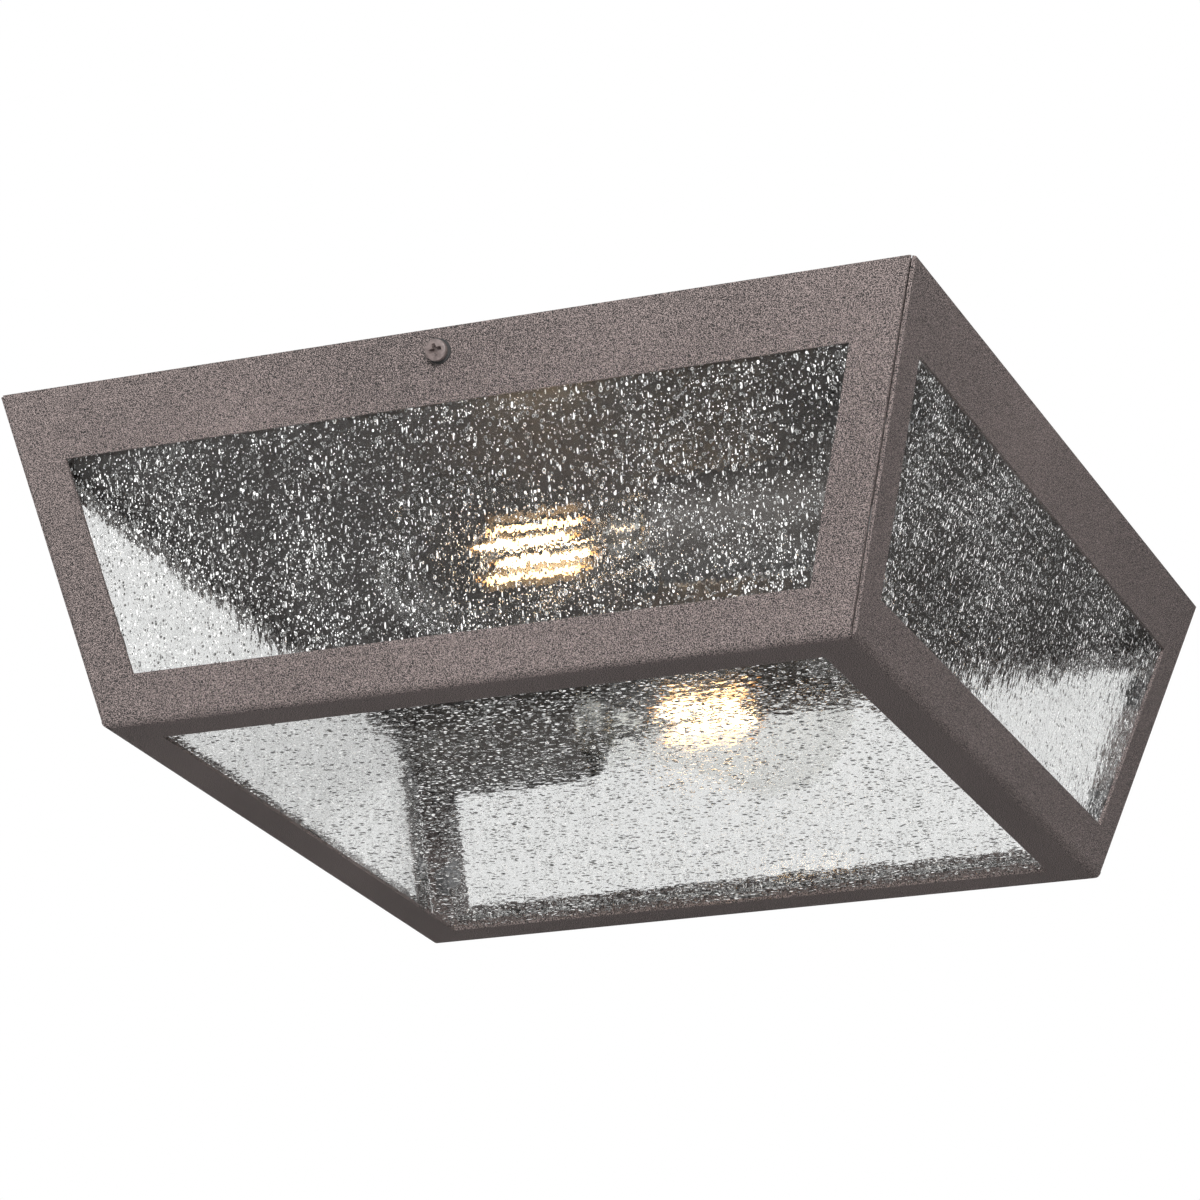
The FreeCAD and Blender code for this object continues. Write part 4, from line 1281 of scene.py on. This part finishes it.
@dataclass
class Workshop:
    """What every sub-assembly is built with."""

    frame: dict[str, object]
    finishes: Finishes
    seeds: Recipe
    ridge: Recipe
    copies: Recipe
    made: list[str] = field(default_factory=list)

    def finish(self, slot: str) -> bpy.types.Material:
        """The material of a finish."""
        return self.finishes.materials[slot]

    def carry(self, slot: str, *nodes: str) -> None:
        """Keeps frame nodes as they are and gives them a finish.

        Args:
            slot: Name of the finish.
            nodes: The nodes' names.
        """
        for node in nodes:
            self.finishes.dress(self.frame["nodes"][node], slot)
            self.made.append(node)
            LOG.info("%s keeps its shape, finish %s", node, slot)

    def add(
        self,
        name: str,
        mesh: bpy.types.Mesh,
        body: str,
        slot: str,
        instead_of: Sequence[str] = (),
        crease: float = 35.0,
        record_slot: str | None = None,
    ) -> None:
        """Adds a new piece to the light.

        Args:
            name: The piece's name.
            mesh: Its mesh, in place.
            body: Body that it rides on.
            slot: Name of its finish.
            instead_of: Frame nodes that it stands for.
            crease: Angle past which its edges stay sharp.
            record_slot: The record's slot, where the finish isn't one of them; not used.
        """
        piece = finished(name, mesh, crease)
        self.finishes.dress(piece, slot)
        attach(piece, body)
        if instead_of:
            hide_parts(*instead_of)
        self.made.append(name)
        LOG.info("%s rides on %s, finish %s, %d faces", name, body, slot, len(mesh.polygons))

    def set_out(self, name: str, mesh: bpy.types.Mesh, places: Sequence[Point], slot: str) -> bpy.types.Mesh:
        """Copies of a fastener, one on each of its places.

        Args:
            name: Name of the new mesh.
            mesh: The fastener at the origin of X and Y.
            places: X and Y of each copy, in millimetres.
            slot: Name of its finish.

        Returns:
            The mesh with every copy.
        """
        fastener = finished(name + "_pattern", mesh)
        base = bpy.data.meshes.new(name + "_places")
        base.from_pydata([(x * MM, y * MM, 0.0) for x, y in places], [], [])
        grown = self.copies.grow(name, base, {"Fastener": fastener, "Material": self.finish(slot)})
        bpy.data.objects.remove(fastener)
        return grown


@dataclass(frozen=True)
class Thread:
    """Ridge of a screw thread about Z, in millimetres."""

    radius: float
    pitch: float
    ridge: float
    start: float
    length: float
    sides: int = 4

    def grow(self, shop: Workshop, name: str, slot: str, placing: Matrix) -> bpy.types.Mesh:
        """Winds the ridge round its axis.

        Args:
            shop: The shared workshop.
            name: Name of the mesh.
            slot: Name of its finish.
            placing: Where the axis goes, in metres.

        Returns:
            The ridge's mesh.
        """
        values = {
            "Radius": self.radius * MM,
            "Pitch": self.pitch * MM,
            "Length": self.length * MM,
            "Ridge": self.ridge * MM,
            "Sides": self.sides,
            "Material": shop.finish(slot),
        }
        mesh = shop.ridge.grow(name, bpy.data.meshes.new(name), values)
        mesh.transform(placing @ Matrix.Translation((0.0, 0.0, self.start * MM)))
        return mesh


@dataclass(frozen=True)
class Scatter:
    """How the seeds lie in a pane, in metres."""

    density: float = 90000.0
    spacing: float = 0.0031
    small: float = 0.0002
    large: float = 0.00065
    stretch: float = 1.6
    depth: float = 0.0005

    def add(self, shop: Workshop, side: str, middle: bpy.types.Mesh, number: int) -> None:
        """Adds the bubbles of one pane.

        Args:
            shop: The shared workshop.
            side: Name of the pane's side.
            middle: The pane's middle plane.
            number: Seed of the scatter.
        """
        name = "seeds_" + side
        values = {
            "Density": self.density,
            "Spacing": self.spacing,
            "Small": self.small,
            "Large": self.large,
            "Stretch": self.stretch,
            "Depth": self.depth,
            "Seed": number,
            "Material": shop.finish("seed_glass"),
        }
        mesh = shop.seeds.grow(name, middle, values)
        shop.add(name, mesh, "fixture", "seed_glass", (), SMOOTH_ALL_ROUND, "seeded_pane_glass")


@dataclass
class Cage:
    """Folded cage with its panes, clips and screws, in millimetres."""

    top_half: float = 152.5
    height: float = 105.0
    draw_in: float = 28.8
    pane_top: float = 18.3
    pane_low: float = 98.3
    pane_edge: float = 10.6
    pane_middle: float = 2.7
    floor_half: float = 114.6
    floor_middle: float = -102.3
    floor_seed: int = 9
    margin: float = 1.0
    scatter: Scatter = Scatter()
    screw_drop: float = 7.5
    thread: Thread = Thread(radius=1.98, pitch=0.794, ridge=0.26, start=-8.8, length=8.0)
    shank_radius: float = 2.05
    seat: float = 0.62
    head_radius: float = 3.4
    head_neck: float = 3.15
    head_height: float = 2.7
    head_dome: float = 0.2
    head_round: float = 0.3
    head_crease: float = 30.0
    recess_span: float = 4.5
    recess_width: float = 1.15
    recess_depth: float = 2.2
    recess_turn: float = 12.0
    recess_above: float = 0.3
    recess_taper: Span = (0.5, 0.8)
    recess_corner: float = 1.25

    @property
    def lean(self) -> float:
        """Lean of the walls from upright, in radians."""
        return math.atan(self.draw_in / self.height)

    def on_wall(self, wall: Wall) -> Matrix:
        """Placing of a wall drawn flat: X along it, Y up the slope, Z outwards.

        Args:
            wall: The wall.

        Returns:
            The placing, in metres.
        """
        turn = Matrix.Rotation(math.radians(wall.value), 4, "Z")
        shift = Matrix.Translation((0.0, -self.top_half * MM, 0.0))
        return turn @ shift @ Matrix.Rotation(math.pi / 2 + self.lean, 4, "X")

    def pane_middle_plane(self, wall: Wall) -> bpy.types.Mesh:
        """Middle plane of a side pane, a little inside its edges.

        Args:
            wall: The pane's wall.

        Returns:
            The plane, in place.
        """
        sine = math.sin(self.lean)
        edge = self.pane_edge * math.sqrt(1.0 + sine * sine) + self.margin
        high = self.pane_top + self.margin
        low = self.pane_low - self.margin
        corners = []
        for drop, way in ((low, -1), (low, 1), (high, 1), (high, -1)):
            half = self.top_half - drop * sine - edge
            corners.append((way * half * MM, -drop * MM, -self.pane_middle * MM))
        middle = plane("pane_plane", corners)
        middle.transform(self.on_wall(wall))
        return middle

    def screw_mesh(self) -> bpy.types.Mesh:
        """Pan-head screw about Z with its head outwards and the wall at zero.

        Returns:
            The screw's mesh, with no recess yet.
        """
        seat = self.seat
        top = seat + self.head_height
        edge = top - self.head_dome
        rim = self.head_radius - self.head_round
        ball = (rim ** 2 + self.head_dome ** 2) / (2.0 * self.head_dome)
        lean = math.degrees(math.asin(rim / ball))
        start = self.thread.start
        outline = [(0.0, start), (self.shank_radius, start), (self.shank_radius, seat)]
        outline += [(self.head_neck, seat), (self.head_radius, seat + self.head_height / 2.0)]
        outline += arc((rim, edge - self.head_round), self.head_round, 0.0, 90.0 - lean, steps=5)
        outline += arc((0.0, top - ball), ball, 90.0 - lean, 90.0, steps=5)[1:]
        return lathe("pan_screw", outline, Matrix.Identity(4))

    def recess_mesh(self) -> bpy.types.Mesh:
        """Crossed recess that narrows towards its bottom, a little higher than the head.

        Returns:
            The recess as a closed shape.
        """
        top = self.seat + self.head_height
        high = top + self.recess_above
        low = top - self.recess_depth
        rings = [circle(0.0, high, 1)]
        for height, span, width in ((high, 1.0, 1.0), (low, *self.recess_taper)):
            half = self.recess_span / 2.0 * span
            arm = self.recess_width / 2.0 * width
            inner = arm * self.recess_corner
            ring = []
            for quarter in range(4):
                turn = Matrix.Rotation(math.radians(90.0 * quarter + self.recess_turn), 3, "Z")
                for x, y in ((half, -arm), (half, arm), (inner, inner)):
                    ring.append(tuple(turn @ Vector((x, y, height))))
            rings.append(ring)
        rings.append(circle(0.0, low, 1))
        return skin("crossed_recess", rings, Matrix.Identity(4))

    def build(self, shop: Workshop) -> None:
        """Dresses the cage and adds the panes' seeds and the screws.

        Args:
            shop: The shared workshop.
        """
        shop.carry("bronze_texture_paint", "cage")
        for number, wall in enumerate(Wall):
            shop.carry("seeded_pane_glass", "glass_" + wall.label)
            shop.carry("spring_steel", "clips_" + wall.label)
            self.scatter.add(shop, wall.label, self.pane_middle_plane(wall), number + 1)
        shop.carry("seeded_floor_glass", "glass_bottom")
        shop.carry("spring_steel", "clips_bottom")
        middle = square("floor_plane", (self.floor_half - self.margin) * MM, self.floor_middle * MM)
        self.scatter.add(shop, "bottom", middle, self.floor_seed)
        for wall in (Wall.FRONT, Wall.BACK):
            side = wall.label
            body = "screw_" + side
            shop.carry("seal_rubber", "screw_seal_" + side)
            centre = self.on_wall(wall) @ Matrix.Translation((0.0, -self.screw_drop * MM, 0.0))
            head = cut(self.screw_mesh(), self.recess_mesh())
            head.transform(centre)
            shop.add(
                "pan_screw_" + side,
                head,
                body,
                "screw_paint",
                ("cage_screw_" + side,),
                self.head_crease,
                "bronze_texture_paint",
            )
            name = "screw_thread_" + side
            ridge = self.thread.grow(shop, name, "zinc_plated_steel", centre)
            shop.add(name, ridge, body, "zinc_plated_steel")


@dataclass
class Canopy:
    """Tray above the lamps with what holds it to the ceiling, in millimetres."""

    floor: float = -12.5
    bracket_sheet: float = 1.5
    rivet_x: float = 116.0
    rivet_y: Span = (-90.0, -68.0)
    head_radius: float = 3.6
    head_height: float = 1.5
    shank_radius: float = 2.0
    tail_radius: float = 3.0
    tail_low: float = -11.5
    tail_height: float = 0.9
    tail_chamfer: float = 0.3
    bore_radius: float = 0.9
    bore_draft: float = 0.1
    bore_depth: float = 0.5
    stud_x: float = 54.0
    thread: Thread = Thread(radius=1.98, pitch=0.794, ridge=0.26, start=-11.4, length=9.5)
    nut_seat: float = -13.3
    nut_flats: float = 8.7
    nut_hex: float = 3.6
    nut_dome: float = 3.9
    nut_corner: float = 0.975
    nut_foot: float = 0.25
    nut_foot_share: float = 0.97
    nut_shoulder: float = 0.5
    nut_shoulder_share: float = 0.93
    nut_steps: int = 48
    nut_crease: float = 30.0

    def rivet_mesh(self) -> bpy.types.Mesh:
        """Domed rivet with its hollow tail spread on the canopy's floor.

        Returns:
            The rivet at the origin of X and Y.
        """
        seat = self.floor - self.bracket_sheet
        dome = (self.head_radius ** 2 + self.head_height ** 2) / (2.0 * self.head_height)
        rise = math.degrees(math.asin(self.head_radius / dome))
        low = seat - self.head_height
        top = self.tail_low + self.tail_height
        bore_end = top - self.bore_depth
        outline = arc((0.0, low + dome), dome, -90.0, -90.0 + rise, steps=8)
        outline += [(self.shank_radius, seat), (self.shank_radius, self.tail_low)]
        outline += [(self.tail_radius, self.tail_low), (self.tail_radius, top - self.tail_chamfer)]
        outline += [(self.tail_radius - self.tail_chamfer, top), (self.bore_radius, top)]
        outline += [(self.bore_radius - self.bore_draft, bore_end), (0.0, bore_end)]
        return lathe("rivet", outline, Matrix.Identity(4), steps=24)

    def hexagon(self, height: float, share: float) -> Ring:
        """Hexagon of the cap nut with its corners taken off.

        Args:
            height: Its height.
            share: Its size as a share of the full one.

        Returns:
            The points.
        """
        corner = self.nut_flats / math.sqrt(3.0) * self.nut_corner
        ring = []
        for angle in turns(self.nut_steps):
            turn = angle % (math.pi / 3.0) - math.pi / 6.0
            reach = min(self.nut_flats / 2.0 / math.cos(turn), corner) * share
            ring.append((reach * math.cos(angle), reach * math.sin(angle), height))
        return ring

    def cap_nut_mesh(self) -> bpy.types.Mesh:
        """Domed nut with rounded hexagon corners.

        Returns:
            The nut at the origin of X and Y.
        """
        seat = self.nut_seat
        low = seat - self.nut_hex
        rings = [circle(0.0, seat, 1), self.hexagon(seat, self.nut_foot_share)]
        rings += [self.hexagon(seat - self.nut_foot, 1.0), self.hexagon(low + self.nut_shoulder, 1.0)]
        rings.append(self.hexagon(low, self.nut_shoulder_share))
        for radius, height in arc((0.0, low), self.nut_dome, 0.0, -90.0, steps=12):
            rings.append(circle(radius, height, self.nut_steps))
        return skin("cap_nut", rings, Matrix.Identity(4))

    def build(self, shop: Workshop) -> None:
        """Dresses the canopy and its hardware and adds what is finer than the frame's.

        Args:
            shop: The shared workshop.
        """
        zinc = "zinc_plated_steel"
        shop.carry("canopy_paint", "canopy")
        shop.carry("gasket_foam", "ceiling_gasket")
        shop.carry(zinc, "clinch_nuts", "crossbar", "mounting_studs", "stud_washers")
        shop.carry("ground_screw_green", "ground_screw")
        shop.carry("bushing_nylon", "wire_bushing")
        corners = [(way * self.rivet_x, way * y) for way in (1, -1) for y in self.rivet_y]
        rivets = shop.set_out("rivets", self.rivet_mesh(), corners, "rivet_aluminium")
        shop.add("rivets", rivets, "fixture", "rivet_aluminium", ("bracket_rivets",))
        studs = [(-self.stud_x, 0.0), (self.stud_x, 0.0)]
        paint = "bronze_smooth_paint"
        nuts = shop.set_out("domed_nuts", self.cap_nut_mesh(), studs, paint)
        shop.add("domed_nuts", nuts, "fixture", paint, ("cap_nuts",), self.nut_crease)
        ridge = self.thread.grow(shop, "stud_ridge", zinc, Matrix.Identity(4))
        shop.add("stud_threads", shop.set_out("stud_threads", ridge, studs, zinc), "fixture", zinc)


@dataclass
class Holder:
    """One lampholder with its bracket."""

    place: LampPlace

    def build(self, shop: Workshop) -> None:
        """Dresses the lampholder's pieces.

        Args:
            shop: The shared workshop.
        """
        carried = {
            "holder_bracket": "bronze_smooth_paint",
            "holder_cup": "bronze_smooth_paint",
            "holder_body": "holder_moulding",
            "holder_shell": "screw_shell_metal",
            "centre_contact": "contact_brass",
            "holder_nipple": "zinc_plated_steel",
            "nipple_nuts": "zinc_plated_steel",
            "terminal_screws": "contact_brass",
        }
        for node, slot in carried.items():
            shop.carry(slot, node + "_" + self.place.value)


@dataclass
class Lamp:
    """One screw-in lamp, in millimetres.

    Its outlines are pairs of radius and height over the base's tip. In stem_foot and stem_tube the first
    number is added to the radius of the foot or the tube. In post_bead the second is added to the post's
    end, and in filament_cap it is the distance from the bar's end.
    """

    place: LampPlace
    button_x: float = 72.0
    offset: float = 79.0
    drop: float = 45.5
    length: float = 122.0
    radius: float = 29.5
    neck_radius: float = 13.3
    neck_start: float = 22.8
    neck_end: float = 34.0
    glass: float = 0.8
    base_wall: float = 0.35
    base_core: float = 12.5
    cone_outer: tuple[Point, ...] = ((7.2, 4.0), (8.6, 4.3), (10.6, 5.6))
    cone_inner: tuple[Point, ...] = ((10.4, 6.0), (7.2, 4.4))
    core_outer: Span = (7.2, 21.2)
    core_inner: Span = (7.4, 21.4)
    skirt_root: Point = (13.0, 21.5)
    skirt_radius: float = 14.1
    skirt_outer: Span = (22.5, 25.0)
    skirt_inner: Span = (22.6, 25.0)
    thread: Thread = Thread(radius=12.25, pitch=3.629, ridge=0.95, start=8.4, length=11.6, sides=12)
    stem_gap: float = 0.2
    stem_start: float = 26.0
    stem_foot: tuple[Point, ...] = ((0.0, 26.8), (-1.6, 28.2))
    stem_radius: float = 5.6
    stem_tube: tuple[Point, ...] = ((1.6, 31.5), (0.3, 34.0), (0.0, 36.0), (0.0, 43.0), (-0.6, 44.6))
    stem_press: tuple[Point, ...] = ((3.4, 47.2), (2.6, 48.2))
    post_radius: float = 1.3
    post_start: float = 48.8
    post_end: float = 88.0
    post_bead: tuple[Point, ...] = ((1.3, -3.2), (1.8, -2.0), (1.7, -0.8), (0.9, -0.1), (0.0, 0.0))
    filament_start: float = 51.0
    filament_length: float = 38.0
    filament_radius: float = 1.0
    filament_cap: tuple[Point, ...] = ((0.0, 0.0), (0.35, 0.0), (0.4, 2.2), (0.8, 2.6))
    coat_start: float = 3.8
    glow_start: float = 2.0
    lit_start: float = 5.0
    filament_circle: float = 8.0
    filament_turn: float = 88.0
    filament_shares: tuple[float, float, float, float] = (1.0, 0.5, 1.0, 0.5)
    wire_radius: float = 0.28
    wire_inset: float = 0.4
    press_wire: tuple[Point, ...] = ((2.6, 46.4), (3.6, 48.0))
    wire_bend: Point = (0.6, 2.2)
    post_wire: tuple[Point, ...] = ((7.6, 90.2), (4.0, 90.1), (1.2, 86.4))
    button_radius: float = 4.6
    button_round: float = 1.2
    button_height: float = 1.6

    @property
    def placing(self) -> Matrix:
        """Placing of a shape drawn along Z, tip upwards, on the lamp's axis.

        Returns:
            The placing, in metres.
        """
        shift = Matrix.Translation((self.button_x * MM, -self.offset * MM, -self.drop * MM))
        placed = shift @ Matrix.Rotation(-math.pi / 2, 4, "Y")
        if self.place is LampPlace.B:
            placed = Matrix.Rotation(math.pi, 4, "Z") @ placed
        return placed

    def envelope(self, inset: float) -> Outline:
        """Neck, shoulder and crown of the glass.

        Args:
            inset: How far inside the outer face.

        Returns:
            Points from the neck's start to the crown's pole.
        """
        crown = self.length - self.radius
        rise = crown - self.neck_end
        gap = self.radius - self.neck_radius
        flow = (self.neck_radius ** 2 + rise ** 2 - self.radius ** 2) / (2.0 * gap)
        centre = (self.neck_radius + flow, self.neck_end)
        turn = math.degrees(math.atan2(rise, centre[0]))
        points = [(self.neck_radius - inset, self.neck_start)]
        points += arc(centre, flow + inset, 180.0, 180.0 - turn, steps=22)
        points += arc((0.0, crown), self.radius - inset, -turn, 90.0, steps=44)[1:]
        return points

    def envelope_mesh(self) -> bpy.types.Mesh:
        """Thin glass, open at the neck."""
        outline = self.envelope(0.0) + self.envelope(self.glass)[::-1]
        return lathe("envelope", outline, self.placing, steps=96)

    def base_mesh(self) -> bpy.types.Mesh:
        """Screw base: cone, straight core and flared skirt.

        Returns:
            The base's mesh.
        """
        core = self.base_core - self.base_wall
        skirt = self.skirt_radius - self.base_wall
        outline = list(self.cone_outer)
        outline += [(self.base_core, height) for height in self.core_outer]
        outline += [self.skirt_root]
        outline += [(self.skirt_radius, height) for height in self.skirt_outer]
        outline += [(skirt, height) for height in self.skirt_inner[::-1]]
        outline += [(core, height) for height in self.core_inner[::-1]]
        outline += self.cone_inner
        return lathe("base", outline, self.placing, steps=72)

    def stem_mesh(self) -> bpy.types.Mesh:
        """Flared foot, tube, pressed top and slender post with a bead at its end.

        Returns:
            The stem's mesh.
        """
        foot = self.neck_radius - self.glass - self.stem_gap
        outline = [(0.0, self.stem_start), (foot, self.stem_start)]
        outline += [(foot + step, height) for step, height in self.stem_foot]
        outline += [(self.stem_radius + step, height) for step, height in self.stem_tube]
        outline += [*self.stem_press, (self.post_radius, self.post_start)]
        outline += [(radius, self.post_end + step) for radius, step in self.post_bead]
        return lathe("stem", outline, self.placing, steps=40)

    def filament_angles(self) -> list[float]:
        """Angle of each filament about the lamp's axis, in radians."""
        start = math.radians(self.filament_turn)
        return [start + turn for turn in turns(len(self.filament_shares))]

    def filaments_mesh(self) -> bpy.types.Mesh:
        """Four coated bars with narrower metal ends, and a `glow` value along each.

        Returns:
            The bars' mesh.
        """
        half = self.filament_length / 2.0
        lit = half - self.lit_start
        middle = self.filament_start + half
        outline = [(radius, step - half) for radius, step in self.filament_cap]
        for height in (self.coat_start - half, -lit, -lit / 2.0, 0.0):
            outline.append((self.filament_radius, height))
        outline += [(radius, -height) for radius, height in outline[-2::-1]]
        book = bmesh.new()
        for angle in self.filament_angles():
            side = self.filament_circle * MM
            shift = Matrix.Translation((side * math.cos(angle), side * math.sin(angle), middle * MM))
            bar = lathe("bar", outline, shift, steps=14)
            book.from_mesh(bar)
            bpy.data.meshes.remove(bar)
        mesh = bpy.data.meshes.new("filaments")
        book.to_mesh(mesh)
        book.free()
        glow = mesh.attributes.new("glow", "FLOAT", "POINT")
        dark = half - self.glow_start
        points_each = len(mesh.vertices) // len(self.filament_shares)
        for number, vertex in enumerate(mesh.vertices):
            along = abs(vertex.co.z / MM - middle)
            share = min(1.0, max(0.0, (dark - along) / (dark - lit)))
            glow.data[number].value = share * self.filament_shares[number // points_each]
        mesh.transform(self.placing)
        return mesh

    def wires_mesh(self) -> bpy.types.Mesh:
        """Bent wires from the press to the bars and from the bars to the post.

        Returns:
            The wires' mesh.
        """
        reach = self.filament_circle
        low = self.filament_start + self.wire_inset
        high = self.filament_start + self.filament_length - self.wire_inset
        inwards, down = self.wire_bend
        near = [*self.press_wire, (reach - inwards, low - down), (reach, low)]
        far = [(reach, high), *self.post_wire]
        up = Vector((0.0, 0.0, 1.0))
        paths = []
        for angle in self.filament_angles():
            out = Vector((math.cos(angle), math.sin(angle), 0.0))
            for run in (near, far):
                paths.append([self.placing @ ((out * radius + up * height) * MM) for radius, height in run])
        return tube("wires", paths, self.wire_radius * MM)

    def button_mesh(self) -> bpy.types.Mesh:
        """Domed solder contact.

        Returns:
            The button's mesh.
        """
        edge = (self.button_radius - self.button_round, self.button_round)
        outline = [(0.0, 0.0), *arc(edge, self.button_round, -90.0, 0.0, steps=6)]
        outline += [(self.button_radius, self.button_height), (0.0, self.button_height)]
        return lathe("button", outline, self.placing, steps=32)

    def build(self, shop: Workshop) -> None:
        """Builds the lamp's pieces finer than the frame's.

        Args:
            shop: The shared workshop.
        """
        letter = self.place.value
        body = "lamp_" + letter
        thread = self.thread.grow(shop, "lamp_thread", "lamp_base_metal", self.placing)
        pieces = (
            ("bulb_", self.envelope_mesh(), body, "clear_lamp_glass", ["lamp_glass_"]),
            ("base_", self.base_mesh(), body, "lamp_base_metal", ["lamp_base_"]),
            ("base_thread_", thread, body, "lamp_base_metal", []),
            ("stem_", self.stem_mesh(), body, "stem_glass", ["lamp_stem_"]),
            ("filaments_", self.filaments_mesh(), body, "filament_phosphor", ["lamp_filaments_"]),
            ("wires_", self.wires_mesh(), body, "support_wire", ["lamp_wires_"]),
            ("button_", self.button_mesh(), body + "_draw", "lamp_contact_metal", ["lamp_button_"]),
        )
        for name, mesh, carrier, slot, nodes in pieces:
            shop.add(name + letter, mesh, carrier, slot, [node + letter for node in nodes])
        shop.carry("base_insulator", "lamp_insulator_" + letter)


# Studio


@dataclass(frozen=True)
class Flag:
    """Upright dark cloth for the panes to mirror, which casts no shadow; in metres."""

    name: str
    ends: tuple[Point, Point]
    heights: Span
    through_glass: bool = False
    weave_scale: float = 400.0
    weave_sheen: float = 0.1

    def build(self) -> None:
        """Adds the cloth; what is mirrored behind a pane shows it only if it is seen through glass."""
        low, high = self.heights
        (x0, y0), (x1, y1) = self.ends
        mesh = plane(self.name, [(x0, y0, low), (x1, y1, low), (x1, y1, high), (x0, y0, high)])
        piece = linked(self.name, mesh)
        piece.visible_camera = False
        piece.visible_diffuse = False
        piece.visible_shadow = False
        piece.visible_transmission = self.through_glass
        sheet = NodeSheet(self.name)
        weave = sheet.noise(self.weave_scale, 2.0)
        shader = sheet.surface(
            Base_Color=sheet.blend(weave, *CLOTH_BLACK),
            Roughness=FROST + weave.swing(self.weave_sheen),
        )
        mesh.materials.append(sheet.close(shader))


@dataclass(frozen=True)
class SoftLamp:
    """Square soft lamp that faces the light, unseen by the camera and through glass."""

    name: str
    place: tuple[float, float, float]
    size: float
    power: float
    aim: tuple[float, float, float] = (0.0, 0.0, -0.05)

    def build(self) -> None:
        """Adds the lamp."""
        data = bpy.data.lights.new(self.name, "AREA")
        data.shape = "SQUARE"
        data.size = self.size
        data.energy = self.power
        holder = linked(self.name, data)
        holder.visible_camera = False
        holder.visible_transmission = False
        holder.location = self.place
        way = Vector(self.aim) - Vector(self.place)
        holder.rotation_euler = way.to_track_quat("-Z", "Y").to_euler()


@dataclass(frozen=True)
class Studio:
    """Plain floor, white surroundings, soft lamps and the camera, in metres and radians."""

    floor_height: float = -1.95
    floor_half: float = 16.0
    floor_white: float = 0.6
    floor_gloss: float = 0.3
    plaster_scale: float = 3.0
    plaster_roughness: float = 0.8
    plaster_sheen: float = 0.1
    ambient: float = 0.2
    azimuth: float = 0.4048
    elevation: float = -0.3671
    roll: float = 0.0247
    distance: float = 1.46845
    shift_right: float = -0.009516
    shift_up: float = -0.030958
    focal: float = 132.454
    sensor: float = 36.0
    near: float = 0.05
    flags: tuple[Flag, ...] = (
        Flag("side_flag", ((0.45, 2.65), (2.7, 1.05)), (-1.0, 1.6)),
        Flag("pane_flag", ((0.6, 2.5), (2.2, 1.35)), (-0.35, 0.75), True),
        Flag("back_flag", ((-1.3, 1.2), (0.35, 1.2)), (-1.35, -0.15), True),
        Flag("front_flag", ((-3.0, -2.4), (0.4, -3.6)), (-1.3, -0.02)),
    )
    lamps: tuple[SoftLamp, ...] = (
        SoftLamp("key_lamp", (1.3, -3.4, 0.5), 1.8, 150.0),
        SoftLamp("side_lamp", (2.9, -0.7, 0.3), 1.2, 9.0),
        SoftLamp("rear_lamp", (-3.4, 1.7, 1.3), 2.0, 70.0),
    )

    def camera(self) -> None:
        """Sets the camera below and in front of the light, as in the photograph."""
        level_share = math.cos(self.elevation)
        across = math.sin(self.azimuth) * level_share
        along = -math.cos(self.azimuth) * level_share
        back = Vector((across, along, math.sin(self.elevation)))
        level = (-back).cross(Vector((0.0, 0.0, 1.0))).normalized()
        rise = level.cross(-back)
        right = level * math.cos(self.roll) + rise * math.sin(self.roll)
        up = rise * math.cos(self.roll) - level * math.sin(self.roll)
        matrix = Matrix((right, up, back)).transposed().to_4x4()
        matrix.translation = back * self.distance + right * self.shift_right + up * self.shift_up
        lens = bpy.data.cameras.new("camera")
        lens.lens = self.focal
        lens.sensor_width = self.sensor
        lens.clip_start = self.near
        holder = linked("camera", lens)
        holder.matrix_world = matrix
        bpy.context.scene.camera = holder

    def floor(self) -> None:
        """Adds a pale floor with a faint plaster tone."""
        mesh = square("studio_floor", self.floor_half, self.floor_height)
        sheet = NodeSheet("studio_floor")
        cloud = sheet.noise(self.plaster_scale, 3.0)
        plaster = sheet.surface(
            Base_Color=sheet.blend(cloud, *PLASTER),
            Roughness=self.plaster_roughness + cloud.swing(self.plaster_sheen),
        )
        camera, glass, gloss = sheet.ray("Camera", "Transmission", "Glossy")
        seen = camera.most(glass).most(gloss * self.floor_gloss)
        white = sheet.add("ShaderNodeEmission", {}, {"Color": WHITE, "Strength": 1.0})
        mesh.materials.append(sheet.close(sheet.mixed(seen * self.floor_white, plaster, white)))
        linked("studio_floor", mesh)

    def world(self) -> None:
        """Makes the surroundings white to the eye, in glass and in gloss, and plain as light."""
        world = bpy.data.worlds.new("studio")
        world.use_nodes = True
        board = NodeBoard(world.node_tree)
        camera, glass, gloss = board.ray("Camera", "Transmission", "Glossy")
        plain = board.add("ShaderNodeBackground", {}, {"Color": WHITE, "Strength": self.ambient})
        white = board.add("ShaderNodeBackground", {}, {"Color": WHITE, "Strength": 1.0})
        either = board.mixed(camera.most(glass).most(gloss), plain, white)
        board.add("ShaderNodeOutputWorld", {}, {"Surface": either.outputs[0]})
        bpy.context.scene.world = world
        bpy.context.scene.view_settings.view_transform = "Standard"

    def build(self) -> None:
        """Builds the whole studio."""
        self.camera()
        self.floor()
        for item in (*self.flags, *self.lamps):
            item.build()
        self.world()
        LOG.info("studio set")


def main() -> None:
    """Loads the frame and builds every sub-assembly."""
    logging.basicConfig(level=logging.INFO, format="%(message)s")
    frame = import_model()
    shop = Workshop(frame, Finishes().make(), seed_recipe(), ridge_recipe(), copies_recipe())
    builders: list[Callable[[Workshop], None]] = [Cage().build, Canopy().build]
    for place in LampPlace:
        builders += [Holder(place).build, Lamp(place).build]
    for build in builders:
        build(shop)
    Studio().build()
    LOG.info("%d pieces dressed", len(shop.made))


if __name__ == "__main__":
    main()
